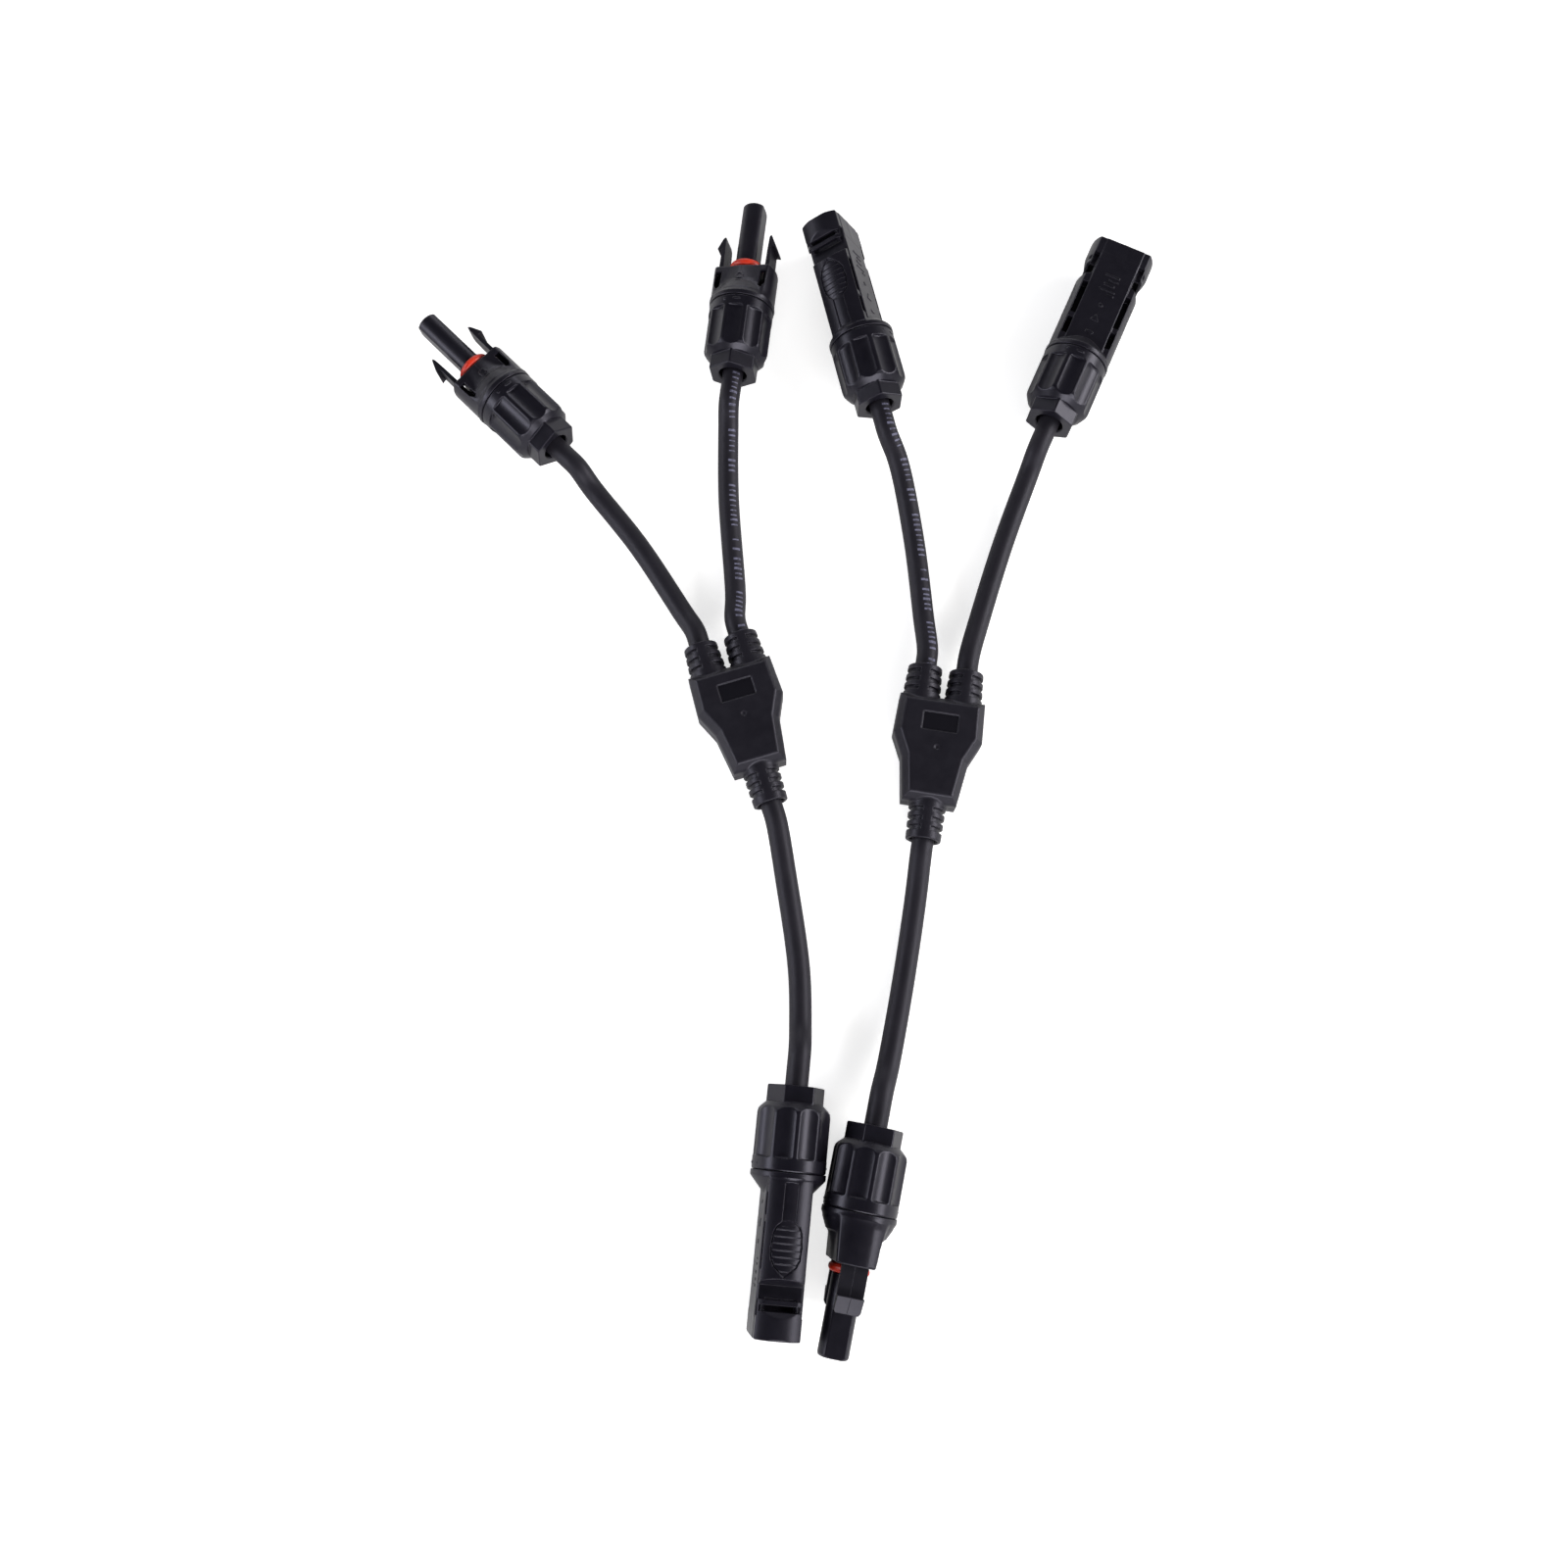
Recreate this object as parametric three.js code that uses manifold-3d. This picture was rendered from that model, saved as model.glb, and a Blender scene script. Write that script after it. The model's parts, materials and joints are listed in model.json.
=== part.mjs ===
// Pair of Y-branch solar cable harnesses lying on a table, millimetres, +Z up.
// Harness a: two socket connectors joined to one plug connector by a moulded Y splitter.
// Harness b: two plug connectors joined to one socket connector by a second splitter.
// The origin is at the centre of the footprint, on the table.
// Connector frame: +X (u) from the rear of the gland nut to the mating end, +Y (v) towards the
// left latch arm, +Z (w) normal to the broad face; r is the distance from the u axis.
// Splitter frame: +Y towards the paired boots, +Z through the thickness.
import * as THREE from 'three';
import { mergeVertices } from 'three/addons/utils/BufferGeometryUtils.js';
import Module from 'manifold-3d';

const wasm = await Module();
wasm.setup();

// ---------------------------------------------------------------- shared dimensions
const GAP = 0.3;          // working gap between neighbouring pieces
const OVERCUT = 1;        // how far a cutter runs past the face it opens
const CABLE_R = 3.0;
const BORE_R = 1.6;       // inside of the jacket
const WIRE_R = 1.28;      // strand bundle
const WIRE_HOLE_R = WIRE_R + GAP;
const AXIS_Z = 9.6;       // connector axis above the table
const JACKET_END = 21.6;  // u where the jacket is stripped
const PIVOT_IN = 2.5;     // cable start, inside the mouth of its boot
const DEGREE = Math.PI / 180;

// ---------------------------------------------------------------- placement on the table
// position x, y and direction of +Y for each splitter
const HUBS = {
  a: { position: [-15.3, 31.0], up: [-0.294, 0.956] },
  b: { position: [43.9, 21.9], up: [0.157, 0.988] },
};
// position: x, y of the nut's rear; yaw, roll and nutTurn in degrees;
// via: middle control points of the cable, x, y, z
const LEGS = {
  a_left: {
    kind: 'socket', hub: 'a', exit: 'left',
    position: [-66.0, 98.4], yaw: 134.8, roll: -4, nutTurn: 12,
    via: [[-28.3, 48.3, 4.6], [-42.1, 70.1, 4.0], [-56.0, 87.5, 6.2]],
  },
  a_right: {
    kind: 'socket', hub: 'a', exit: 'right',
    position: [-15.1, 121.5], yaw: 83.4, roll: -14, nutTurn: 8,
    via: [[-13.8, 54.0, 4.6], [-16.1, 84.9, 4.0], [-16.3, 106.5, 6.8]],
  },
  a_lower: {
    kind: 'plug', hub: 'a', exit: 'low',
    position: [3.2, -82.8], yaw: -95.7, roll: -98, nutTurn: 0,
    via: [[0.4, -26.5, 4.6], [4.0, -52.0, 4.0], [4.3, -68.0, 6.2]],
  },
  b_left: {
    kind: 'plug', hub: 'b', exit: 'left',
    position: [28.0, 111.4], yaw: 103.4, roll: 60, nutTurn: 0,
    via: [[39.7, 47.0, 4.6], [37.5, 72.0, 4.0], [33.2, 95.5, 6.8]],
  },
  b_right: {
    kind: 'plug', hub: 'b', exit: 'right',
    position: [77.0, 105.8], yaw: 66.1, roll: 2, nutTurn: 0,
    via: [[55.5, 47.0, 4.6], [63.2, 70.5, 4.0], [71.3, 92.0, 6.6]],
  },
  b_lower: {
    kind: 'socket', hub: 'b', exit: 'low',
    position: [23.4, -92.8], yaw: -101.8, roll: -98, nutTurn: 0,
    via: [[35.5, -33.0, 4.6], [31.8, -55.0, 4.0], [27.0, -78.0, 6.6]],
  },
};

// ---------------------------------------------------------------- materials
const LOOKS = {
  black: { color: 0x1b1a20, roughness: 0.42, metalness: 0.0 },
  nutBlack: { color: 0x1c1b21, roughness: 0.38, metalness: 0.0 },
  jacket: { color: 0x24222a, roughness: 0.6, metalness: 0.0 },
  rubber: { color: 0x2a2a2c, roughness: 0.8, metalness: 0.0 },
  red: { color: 0xd8351a, roughness: 0.5, metalness: 0.0 },
  nylon: { color: 0x3a3a40, roughness: 0.6, metalness: 0.0 },
  tin: { color: 0xc9cacb, roughness: 0.3, metalness: 1.0 },
  copper: { color: 0xc7a48a, roughness: 0.45, metalness: 1.0 },
  core: { color: 0x55555c, roughness: 0.6, metalness: 0.0 },
};

// ---------------------------------------------------------------- solids from geometry
// weld the geometry, drop collapsed triangles and turn the faces outwards
function toSolid(geometry) {
  geometry.deleteAttribute('normal');
  geometry.deleteAttribute('uv');
  const welded = mergeVertices(geometry, 1e-4);
  const { position } = welded.attributes;
  const index = welded.index.array;
  const corner = (i) => new THREE.Vector3().fromBufferAttribute(position, i);
  let triangles = [];
  let volume = 0;
  for (let i = 0; i < index.length; i += 3) {
    const [a, b, c] = index.slice(i, i + 3);
    if (a === b || b === c || a === c) continue;
    triangles.push([a, b, c]);
    volume += corner(a).dot(corner(b).cross(corner(c)));
  }
  if (volume < 0) triangles = triangles.map(([a, b, c]) => [a, c, b]);
  return new wasm.Manifold(new wasm.Mesh({
    numProp: 3,
    vertProperties: new Float32Array(position.array),
    triVerts: new Uint32Array(triangles.flat()),
  }));
}

function makeMesh(name, solid, look) {
  const { vertProperties, triVerts } = solid.getMesh();
  const geometry = new THREE.BufferGeometry();
  geometry.setAttribute('position', new THREE.BufferAttribute(new Float32Array(vertProperties), 3));
  geometry.setIndex(new THREE.BufferAttribute(new Uint32Array(triVerts), 1));
  geometry.computeVertexNormals();
  const mesh = new THREE.Mesh(geometry, new THREE.MeshStandardMaterial(look));
  mesh.name = name;
  return mesh;
}

const addAll = (solids) => solids.reduce((sum, solid) => sum.add(solid));
const cutAll = (base, cutters) => cutters.reduce((rest, cutter) => rest.subtract(cutter), base);

const toShape = (points) => new THREE.Shape(points.map(([x, y]) => new THREE.Vector2(x, y)));
const polygon = (sides, radius, phase = 0) => Array.from({ length: sides }, (_, i) => {
  const angle = phase + (i * 2 * Math.PI) / sides;
  return [radius * Math.cos(angle), radius * Math.sin(angle)];
});

// profile [[u, r], ...] turned about the u axis; closed here if it stands off the axis
function turned(profile, segments) {
  const points = profile.map(([along, radius]) => new THREE.Vector2(radius, along));
  if (profile[0][1] > 0 || profile.at(-1)[1] > 0) points.push(points[0].clone());
  const geometry = new THREE.LatheGeometry(points, segments);
  geometry.rotateZ(-Math.PI / 2);
  return toSolid(geometry);
}
const rod = (start, end, radius, segments) =>
  turned([[start, 0], [start, radius], [end, radius], [end, 0]], segments);

// [low, high] ranges: about zero, or from inner to outer on the given side (1 or -1)
const centred = (half) => [-half, half];
const onSide = (side, inner, outer) => (side > 0 ? [inner, outer] : [-outer, -inner]);

function boxGeometry(...ranges) {
  const geometry = new THREE.BoxGeometry(...ranges.map(([low, high]) => high - low));
  return geometry.translate(...ranges.map(([low, high]) => (low + high) / 2));
}
const block = (...ranges) => toSolid(boxGeometry(...ranges));

// x-y outline with its thickness centred on z = 0
function plate(points, halfThickness, bevel = 0, inset = bevel) {
  const geometry = new THREE.ExtrudeGeometry(toShape(points), {
    depth: 2 * (halfThickness - bevel),
    bevelEnabled: bevel > 0,
    bevelThickness: bevel,
    bevelSize: inset,
    bevelOffset: -inset,
    bevelSegments: 1,
  });
  geometry.translate(0, 0, bevel - halfThickness);
  return toSolid(geometry);
}

// outline in the v-w plane, extruded along u
function prism(points, start, end) {
  const options = { depth: end - start, bevelEnabled: false };
  const geometry = new THREE.ExtrudeGeometry(toShape(points), options);
  geometry.applyMatrix4(new THREE.Matrix4().set(
    0, 0, 1, start,
    1, 0, 0, 0,
    0, 1, 0, 0,
    0, 0, 0, 1,
  ));
  return toSolid(geometry);
}

// polygonal bar swept along a path, hollow when a bore is given
function sweep(path, { radius, sides, steps, bore = 0, boreSides = 0 }) {
  const shape = toShape(polygon(sides, radius));
  if (bore) shape.holes.push(toShape(polygon(boreSides, bore).reverse()));
  const options = { steps, extrudePath: path, bevelEnabled: false };
  return toSolid(new THREE.ExtrudeGeometry(shape, options));
}

// ---------------------------------------------------------------- gland: nut, cage, seal
const NUT = {
  length: 21.0, radius: 9.5, rearRadius: 8.7, band: 2.2,
  hexFlats: 13.0, hexLength: 4.3, hexOverlap: 0.5, shoulder: 2.2, shoulderRadius: 7.2,
  ridges: 10, flute: 0.7, ridgeHalfAngle: 0.16, fluteAngle: 0.314,
  holeRadius: 4.0, coneStart: 3.0, coneEnd: 8.2, boreRadius: 7.9,
};
const CAGE = {
  start: 4.4, end: 15.0, radius: 6.0, bore: 3.35, tipRadius: 4.5, taper: 4.6,
  slots: 4, slotDepth: 6.2, slotHalfWidth: 0.45, slotRange: [1.5, 9.5], slotTurn: 0.2,
};
const SEAL = { start: 15.4, end: 21.4, radius: 6.0, bore: 3.35 };

function makeNut() {
  const fluteRadius = NUT.radius - NUT.flute;
  const outline = [];
  for (let i = 0; i < NUT.ridges; i++) {
    const middle = (i * 2 * Math.PI) / NUT.ridges;
    // angle from the ridge middle, radius
    const corners = [
      [-NUT.ridgeHalfAngle, NUT.radius],
      [NUT.ridgeHalfAngle, NUT.radius],
      [NUT.fluteAngle, fluteRadius],
    ];
    for (const [offset, radius] of corners) {
      outline.push([radius * Math.cos(middle + offset), radius * Math.sin(middle + offset)]);
    }
  }
  const shoulderEnd = NUT.hexLength + NUT.shoulder;
  const bandStart = NUT.length - NUT.band;
  const ribbed = prism(outline, shoulderEnd, bandStart);
  const shoulder = turned([
    [NUT.hexLength, 0], [NUT.hexLength, NUT.shoulderRadius],
    [shoulderEnd, NUT.rearRadius], [shoulderEnd, 0],
  ], 20);
  const band = rod(bandStart, NUT.length, NUT.radius, 20);
  const hexRadius = NUT.hexFlats / 2 / Math.cos(Math.PI / 6);
  const hex = prism(polygon(6, hexRadius, Math.PI / 6), 0, NUT.hexLength + NUT.hexOverlap);
  const bore = turned([
    [-OVERCUT, 0], [-OVERCUT, NUT.holeRadius], [NUT.coneStart, NUT.holeRadius],
    [NUT.coneEnd, NUT.boreRadius], [NUT.length + OVERCUT, NUT.boreRadius],
    [NUT.length + OVERCUT, 0],
  ], 14);
  return addAll([ribbed, shoulder, band, hex]).subtract(bore);
}

// sleeve slotted into fingers at its rear end
function makeCage() {
  const sleeve = turned([
    [CAGE.start, CAGE.bore], [CAGE.end, CAGE.bore], [CAGE.end, CAGE.radius],
    [CAGE.start + CAGE.taper, CAGE.radius], [CAGE.start, CAGE.tipRadius],
  ], 12);
  const slots = [];
  for (let i = 0; i < CAGE.slots; i++) {
    const slot = boxGeometry(
      [CAGE.start - OVERCUT, CAGE.start + CAGE.slotDepth],
      CAGE.slotRange,
      centred(CAGE.slotHalfWidth),
    );
    slot.rotateX((i * 2 * Math.PI) / CAGE.slots + CAGE.slotTurn);
    slots.push(toSolid(slot));
  }
  return cutAll(sleeve, slots);
}

function makeSeal() {
  const { start, end, radius, bore } = SEAL;
  return turned([[start, bore], [end, bore], [end, radius], [start, radius]], 12);
}

// ---------------------------------------------------------------- parts common to both kinds
const SPIGOT = { start: 10.8, radius: 7.55, bore: 6.3 };
const FLANGE = { start: 21.3, end: 22.8, radius: 9.6 };
const CHAMBER_R = 3.1;    // bore of the housings around the contact
const ENVELOPE_R = 9.72;  // round envelope that trims the housing corners
const SOCKET_L = 56.4;
const PLUG_L = 60.6;

const CRIMP = { start: 23.6, end: 30.6, radius: 2.2, cone: 1.4 };
const COLLAR = { start: 31.8, end: 33.6, radius: 2.75 };
// contact profiles in front of the crimp, from the axis back to the collar: u, r
const SOCKET_CONTACT = [
  [38, 0], [38, 1.6], [SOCKET_L - 2.3, 1.6], [SOCKET_L - 2.3, 2.5], [COLLAR.end, 2.5],
];
const PIN_TIP = 52.0;
const PIN_CONTACT = [
  [PIN_TIP, 0], [PIN_TIP - 0.2, 0.9], [PIN_TIP - 1.6, 2.0], [COLLAR.end, 2.0],
];

function makeContact(front) {
  return turned([
    [CRIMP.start, WIRE_HOLE_R], [CRIMP.end, WIRE_HOLE_R], [CRIMP.end + CRIMP.cone, 0],
    ...front,
    [COLLAR.end, COLLAR.radius], [COLLAR.start, COLLAR.radius],
    [COLLAR.start, CRIMP.radius], [CRIMP.start, CRIMP.radius],
  ], 8);
}

// spigot, flange and a cone that narrows towards the housing body
function makeHousingRear(coneEnd, coneRadius) {
  return turned([
    [SPIGOT.start, 0], [SPIGOT.start, SPIGOT.radius], [FLANGE.start, SPIGOT.radius],
    [FLANGE.start, FLANGE.radius], [FLANGE.end, FLANGE.radius],
    [coneEnd, coneRadius], [coneEnd, 0],
  ], 16);
}

// cutter for the rear chamber; front continues the profile: u, r
function makeChamber(front) {
  return turned([
    [SPIGOT.start - OVERCUT, 0], [SPIGOT.start - OVERCUT, SPIGOT.bore],
    [FLANGE.end - 0.9, SPIGOT.bore], [FLANGE.end + 0.4, CHAMBER_R],
    ...front,
  ], 12);
}

const makeEnvelope = () => rod(20, PLUG_L + 5, ENVELOPE_R, 20);

// ---------------------------------------------------------------- socket connector
const SKIRT = { start: 23.2, end: 33.8, halfWidth: 9.5, halfThickness: 6.0, bevel: 0.9 };
const NOSE = { radius: 4.0, chamfer: 0.5, flat: 3.1 };
const O_RING = { along: 35.0, radius: 4.25, cord: 0.95 };
const GROOVE = { end: O_RING.along + 1.15, floor: 3.0, outer: 7 };
const ARM = {
  root: 26.0, tip: 45.2, inner: 6.6, outer: 7.9, halfWidth: 3.4, barb: 9.0, barbStart: 40.6,
};
const HOLLOW = { start: ARM.root - 0.6, inner: 5.2, outer: 8.5, halfWidth: ARM.halfWidth + 0.5 };
const WINDOW = { start: 27.6, end: SKIRT.end - 1.8, inner: 6.5, outer: 9.0 };
const SOCKET_BORE = { start: 30, cone: [34, 34.6], radius: 2.8, lip: 1.8, mouth: 2.2 };

function makeORing() {
  const section = polygon(5, O_RING.cord);
  return turned(section.map(([x, y]) => [O_RING.along + x, O_RING.radius + y]), 14);
}

function makeSocketHousing() {
  const barrel = turned([
    [25, 0], [25, 7.4], [29, 6.2], [SKIRT.end, 5.3], [SKIRT.end, NOSE.radius],
    [SOCKET_L - NOSE.chamfer, NOSE.radius], [SOCKET_L, NOSE.radius - NOSE.chamfer],
    [SOCKET_L, 0],
  ], 14);
  const wings = plate([
    [SKIRT.start, -8.6], [26.4, -SKIRT.halfWidth], [SKIRT.end, -SKIRT.halfWidth],
    [SKIRT.end, SKIRT.halfWidth], [26.4, SKIRT.halfWidth], [SKIRT.start, 8.6],
  ], SKIRT.halfThickness, SKIRT.bevel);
  const body = addAll([makeHousingRear(26.5, 7.6), barrel, wings.intersect(makeEnvelope())]);

  const cutters = [];
  // hollow around each latch arm, with a window through the +w face
  for (const side of [1, -1]) {
    cutters.push(block(
      [HOLLOW.start, SKIRT.end + OVERCUT],
      onSide(side, HOLLOW.inner, HOLLOW.outer),
      centred(HOLLOW.halfWidth),
    ));
    cutters.push(block(
      [WINDOW.start, WINDOW.end],
      onSide(side, WINDOW.inner, WINDOW.outer),
      [0, SKIRT.halfThickness + OVERCUT],
    ));
  }
  // groove under the O-ring
  cutters.push(turned([
    [SKIRT.end, GROOVE.floor], [GROOVE.end, GROOVE.floor],
    [GROOVE.end, GROOVE.outer], [SKIRT.end, GROOVE.outer],
  ], 14));
  // flats on the two v sides of the nose
  for (const side of [1, -1]) {
    const along = [O_RING.along + 1.3, SOCKET_L + OVERCUT];
    cutters.push(block(along, onSide(side, NOSE.flat, 8), centred(6)));
  }
  // contact bore, narrowed at the mating end
  const [coneStart, coneEnd] = SOCKET_BORE.cone;
  const lipStart = SOCKET_L - SOCKET_BORE.lip;
  cutters.push(turned([
    [SOCKET_BORE.start, 0], [SOCKET_BORE.start, CHAMBER_R], [coneStart, CHAMBER_R],
    [coneEnd, SOCKET_BORE.radius], [lipStart, SOCKET_BORE.radius],
    [lipStart, SOCKET_BORE.mouth], [SOCKET_L + OVERCUT, SOCKET_BORE.mouth],
    [SOCKET_L + OVERCUT, 0],
  ], 8));
  cutters.push(makeChamber([[33, CHAMBER_R], [33, 0]]));
  return cutAll(body, cutters);
}

// thin tongue with a barbed head; side is 1 for +v, -1 for -v
function makeLatchArm(side) {
  const { root, tip, inner, outer, barb, barbStart } = ARM;
  const outline = [
    [root, inner - 0.3], [tip - 1.2, inner], [tip, inner + 0.1], [tip, inner + 0.8],
    [tip - 2.2, barb - 0.4], [barbStart + 0.5, barb], [barbStart, outer],
    [root + 0.6, outer], [root, outer - 0.4],
  ].map(([along, across]) => [along, across * side]);
  return plate(side > 0 ? outline : outline.reverse(), ARM.halfWidth);
}

// ---------------------------------------------------------------- plug connector
const BODY = { start: 24.5, halfWidth: 6.0, halfThickness: 5.9, bevel: 0.8 };
const RAIL = { end: 46.3, halfWidth: 9.3, halfThickness: 5.6, bevel: 0.8, taper: 1.8 };
const HEAD = { start: 55.4, halfWidth: 9.6, halfThickness: 5.7, bevel: 0.35, chamfer: 0.8 };
const NECK = { halfWidth: 6.7, inset: 0.2 };
const STRAP = { start: 52.9, inner: 7.75, outer: 8.5 };
const CHANNEL = { inner: 6.15, outer: 7.95, halfWidth: 3.9 };
const SLOT = { front: [33.2, 44.6], rear: [27.2, 31.8], inner: 6.15, outer: 7.9, floor: 3.2 };
const DIMPLE = { range: [33.2, 44.8], depth: 0.6, halfWidth: 3.4 };
const CAVITY = { start: 39.6, radius: 4.4, mouthStart: 54.6, mouthRadius: 4.9, mouthCone: 0.6 };
const PIN_BORE_R = 2.4;
const TUBE_R = 5.85;

function makePlugShell() {
  const bodyEnd = HEAD.start + 1;
  const body = plate([
    [BODY.start, -BODY.halfWidth], [bodyEnd, -BODY.halfWidth],
    [bodyEnd, BODY.halfWidth], [BODY.start, BODY.halfWidth],
  ], BODY.halfThickness, BODY.bevel);

  const neckEdge = NECK.halfWidth - NECK.inset;
  const taperEnd = RAIL.end + RAIL.taper;
  const rails = plate([
    [23.4, -8.8], [27, -RAIL.halfWidth], [RAIL.end, -RAIL.halfWidth], [taperEnd, -neckEdge],
    [taperEnd, neckEdge], [RAIL.end, RAIL.halfWidth], [27, RAIL.halfWidth], [23.4, 8.8],
  ], RAIL.halfThickness, RAIL.bevel);
  const neck = block(
    [RAIL.end - 0.5, HEAD.start + 0.5],
    centred(NECK.halfWidth),
    centred(HEAD.halfThickness - NECK.inset),
  );

  // full-width head with a sloped strap reaching back on each side
  const halfOutline = [
    [HEAD.start, STRAP.inner], [STRAP.start, STRAP.inner], [STRAP.start, STRAP.outer],
    [HEAD.start, HEAD.halfWidth], [PLUG_L - HEAD.chamfer, HEAD.halfWidth],
    [PLUG_L, HEAD.halfWidth - HEAD.chamfer],
  ];
  const mirrored = halfOutline.map(([along, across]) => [along, -across]);
  const head = plate([...mirrored, ...halfOutline.reverse()], HEAD.halfThickness, HEAD.bevel);
  return addAll([
    makeHousingRear(26.9, BODY.halfThickness),
    neck,
    rod(RAIL.end, PLUG_L, TUBE_R, 14),
    body.add(rails).add(head).intersect(makeEnvelope()),
  ]);
}

function makePlugHousing() {
  const cutters = [];
  for (const side of [1, -1]) {
    // channel through the head, inside the strap
    cutters.push(block(
      [STRAP.start - 2, PLUG_L + OVERCUT],
      onSide(side, CHANNEL.inner, CHANNEL.outer),
      centred(CHANNEL.halfWidth),
    ));
    // two slots between rail and body in each broad face
    for (const face of [1, -1]) {
      for (const along of [SLOT.front, SLOT.rear]) {
        const across = onSide(side, SLOT.inner, SLOT.outer);
        cutters.push(block(along, across, onSide(face, SLOT.floor, 8)));
      }
    }
    // shallow hollow in the narrow side
    cutters.push(block(
      DIMPLE.range,
      onSide(side, RAIL.halfWidth - DIMPLE.depth, RAIL.halfWidth + OVERCUT),
      centred(DIMPLE.halfWidth),
    ));
  }
  cutters.push(turned([
    [CAVITY.start, 0], [CAVITY.start, CAVITY.radius], [CAVITY.mouthStart, CAVITY.radius],
    [CAVITY.mouthStart + CAVITY.mouthCone, CAVITY.mouthRadius],
    [PLUG_L + OVERCUT, CAVITY.mouthRadius], [PLUG_L + OVERCUT, 0],
  ], 14));
  cutters.push(makeChamber([
    [34.2, CHAMBER_R], [34.6, PIN_BORE_R],
    [CAVITY.start + OVERCUT, PIN_BORE_R], [CAVITY.start + OVERCUT, 0],
  ]));
  return cutAll(makePlugShell(), cutters);
}

// ---------------------------------------------------------------- splitter
const SPLITTER = { length: 30.0, thickness: 12.6, bevel: 2.6, inset: 2.0 };
// x, y
const SPLITTER_OUTLINE = [
  [-11.8, 0], [-12.3, -11.3], [-9.2, -18], [-7.5, -SPLITTER.length],
  [7.5, -SPLITTER.length], [9.2, -18], [12.3, -11.3], [11.8, 0],
];
const BOOT_X = 5.8;
const BOOT_END = 9.2;
const LOW_BOOT_END = -SPLITTER.length - 10.0;
// tapered cable boots: y and radius at root and end, direction along Y, depth of wire channel
const PAIRED_BOOT = {
  root: -2, rootRadius: 5.5, end: BOOT_END, endRadius: 4.75, direction: 1, channel: 14.5,
};
const BOOTS = {
  left: { x: -BOOT_X, ...PAIRED_BOOT },
  right: { x: BOOT_X, ...PAIRED_BOOT },
  low: {
    x: 0, root: -SPLITTER.length + 2, rootRadius: 5.2,
    end: LOW_BOOT_END, endRadius: 4.8, direction: -1, channel: 16,
  },
};
const MOUTH = { overcut: 0.5, radius: 3.9, throat: 3.4, depth: PIVOT_IN + 0.9 };
const RECESS = { halfWidth: 4.95, range: [-10.35, -5.05], depth: 0.4, height: 1 };
const CORE_HALF_THICKNESS = 3.3;
const FERRULE = { halfWidth: 4.1, rear: -16.2, front: -12.2, halfThickness: 2.4, bevel: 0.5 };
const BAR = { halfWidth: 2.3, rear: -16, front: -12.4, halfThickness: 1.15 };
const WIRE_END_IN = PIVOT_IN + 1.4;  // ends of the splice wires, inside the boot mouths

// profile [[y, r], ...] turned about a line parallel to Y, taken in rising y
function turnedAlongY(profile, segments, x) {
  const rising = profile[0][0] > profile.at(-1)[0] ? profile.reverse() : profile;
  return turned(rising, segments).transform([
    0, 1, 0, 0,
    -1, 0, 0, 0,
    0, 0, 1, 0,
    x, 0, 0, 1,
  ]);
}

function makeOvermould() {
  const { thickness, bevel, inset } = SPLITTER;
  let body = plate(SPLITTER_OUTLINE, thickness / 2, bevel, inset);
  const cutters = [];
  for (const boot of Object.values(BOOTS)) {
    body = body.add(turnedAlongY([
      [boot.root, 0], [boot.root, boot.rootRadius], [boot.end, boot.endRadius], [boot.end, 0],
    ], 14, boot.x));
    // tapered mouth around the cable, then the wire channel
    const inward = (distance) => boot.end - boot.direction * distance;
    cutters.push(turnedAlongY([
      [inward(-MOUTH.overcut), 0], [inward(-MOUTH.overcut), MOUTH.radius],
      [inward(MOUTH.depth), MOUTH.throat], [inward(MOUTH.depth), WIRE_HOLE_R],
      [inward(boot.channel), WIRE_HOLE_R], [inward(boot.channel), 0],
    ], 10, boot.x));
  }
  cutters.push(makeCoreBlank(GAP));
  const recessFloor = thickness / 2 - RECESS.depth;
  cutters.push(block(
    centred(RECESS.halfWidth),
    RECESS.range,
    [recessFloor, recessFloor + RECESS.height],
  ));
  return cutAll(body, cutters);
}

// In the three solids below, grow enlarges the piece to cut a clearance pocket.
function makeCoreBlank(grow) {
  return plate([
    [-8.4 - grow, -12], [-4.6 - grow, -24.2 - grow], [4.6 + grow, -24.2 - grow],
    [8.4 + grow, -12], [8.4 + grow, -4.2 + grow], [-8.4 - grow, -4.2 + grow],
  ], CORE_HALF_THICKNESS + grow);
}

function makeFerruleBlank(grow) {
  const half = FERRULE.halfWidth + grow;
  const rear = FERRULE.rear - grow;
  const front = FERRULE.front + grow;
  return plate(
    [[-half, front], [-half, rear], [half, rear], [half, front]],
    FERRULE.halfThickness + grow,
    grow ? 0 : FERRULE.bevel,
  );
}

// two wires from the paired boots, a bar across them and one wire to the low boot
function makeSplice(grow) {
  const wire = (points, steps) => {
    const path = new THREE.CatmullRomCurve3(points.map(([x, y]) => new THREE.Vector3(x, y, 0)));
    return sweep(path, { radius: WIRE_R + grow, sides: 6, steps });
  };
  const pairedWire = (side) => wire([
    [side * BOOT_X, BOOT_END - WIRE_END_IN + grow], [side * BOOT_X, 0], [side * BOOT_X, -4],
    [side * 3.2, -8.6], [side * 1.35, -11.5], [side * 1.35, -15 - grow],
  ], 6);
  const bar = block(
    centred(BAR.halfWidth + grow),
    [BAR.rear - grow, BAR.front + grow],
    centred(BAR.halfThickness + grow),
  );
  const lowWire = wire([[0, -13.5 + grow], [0, -20], [0, LOW_BOOT_END + WIRE_END_IN - grow]], 1);
  return addAll([pairedWire(1), pairedWire(-1), bar, lowWire]);
}

const makeFerrule = () => makeFerruleBlank(0).subtract(makeSplice(GAP));
const makeCore = () => cutAll(makeCoreBlank(0), [makeSplice(GAP), makeFerruleBlank(GAP)]);

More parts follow.
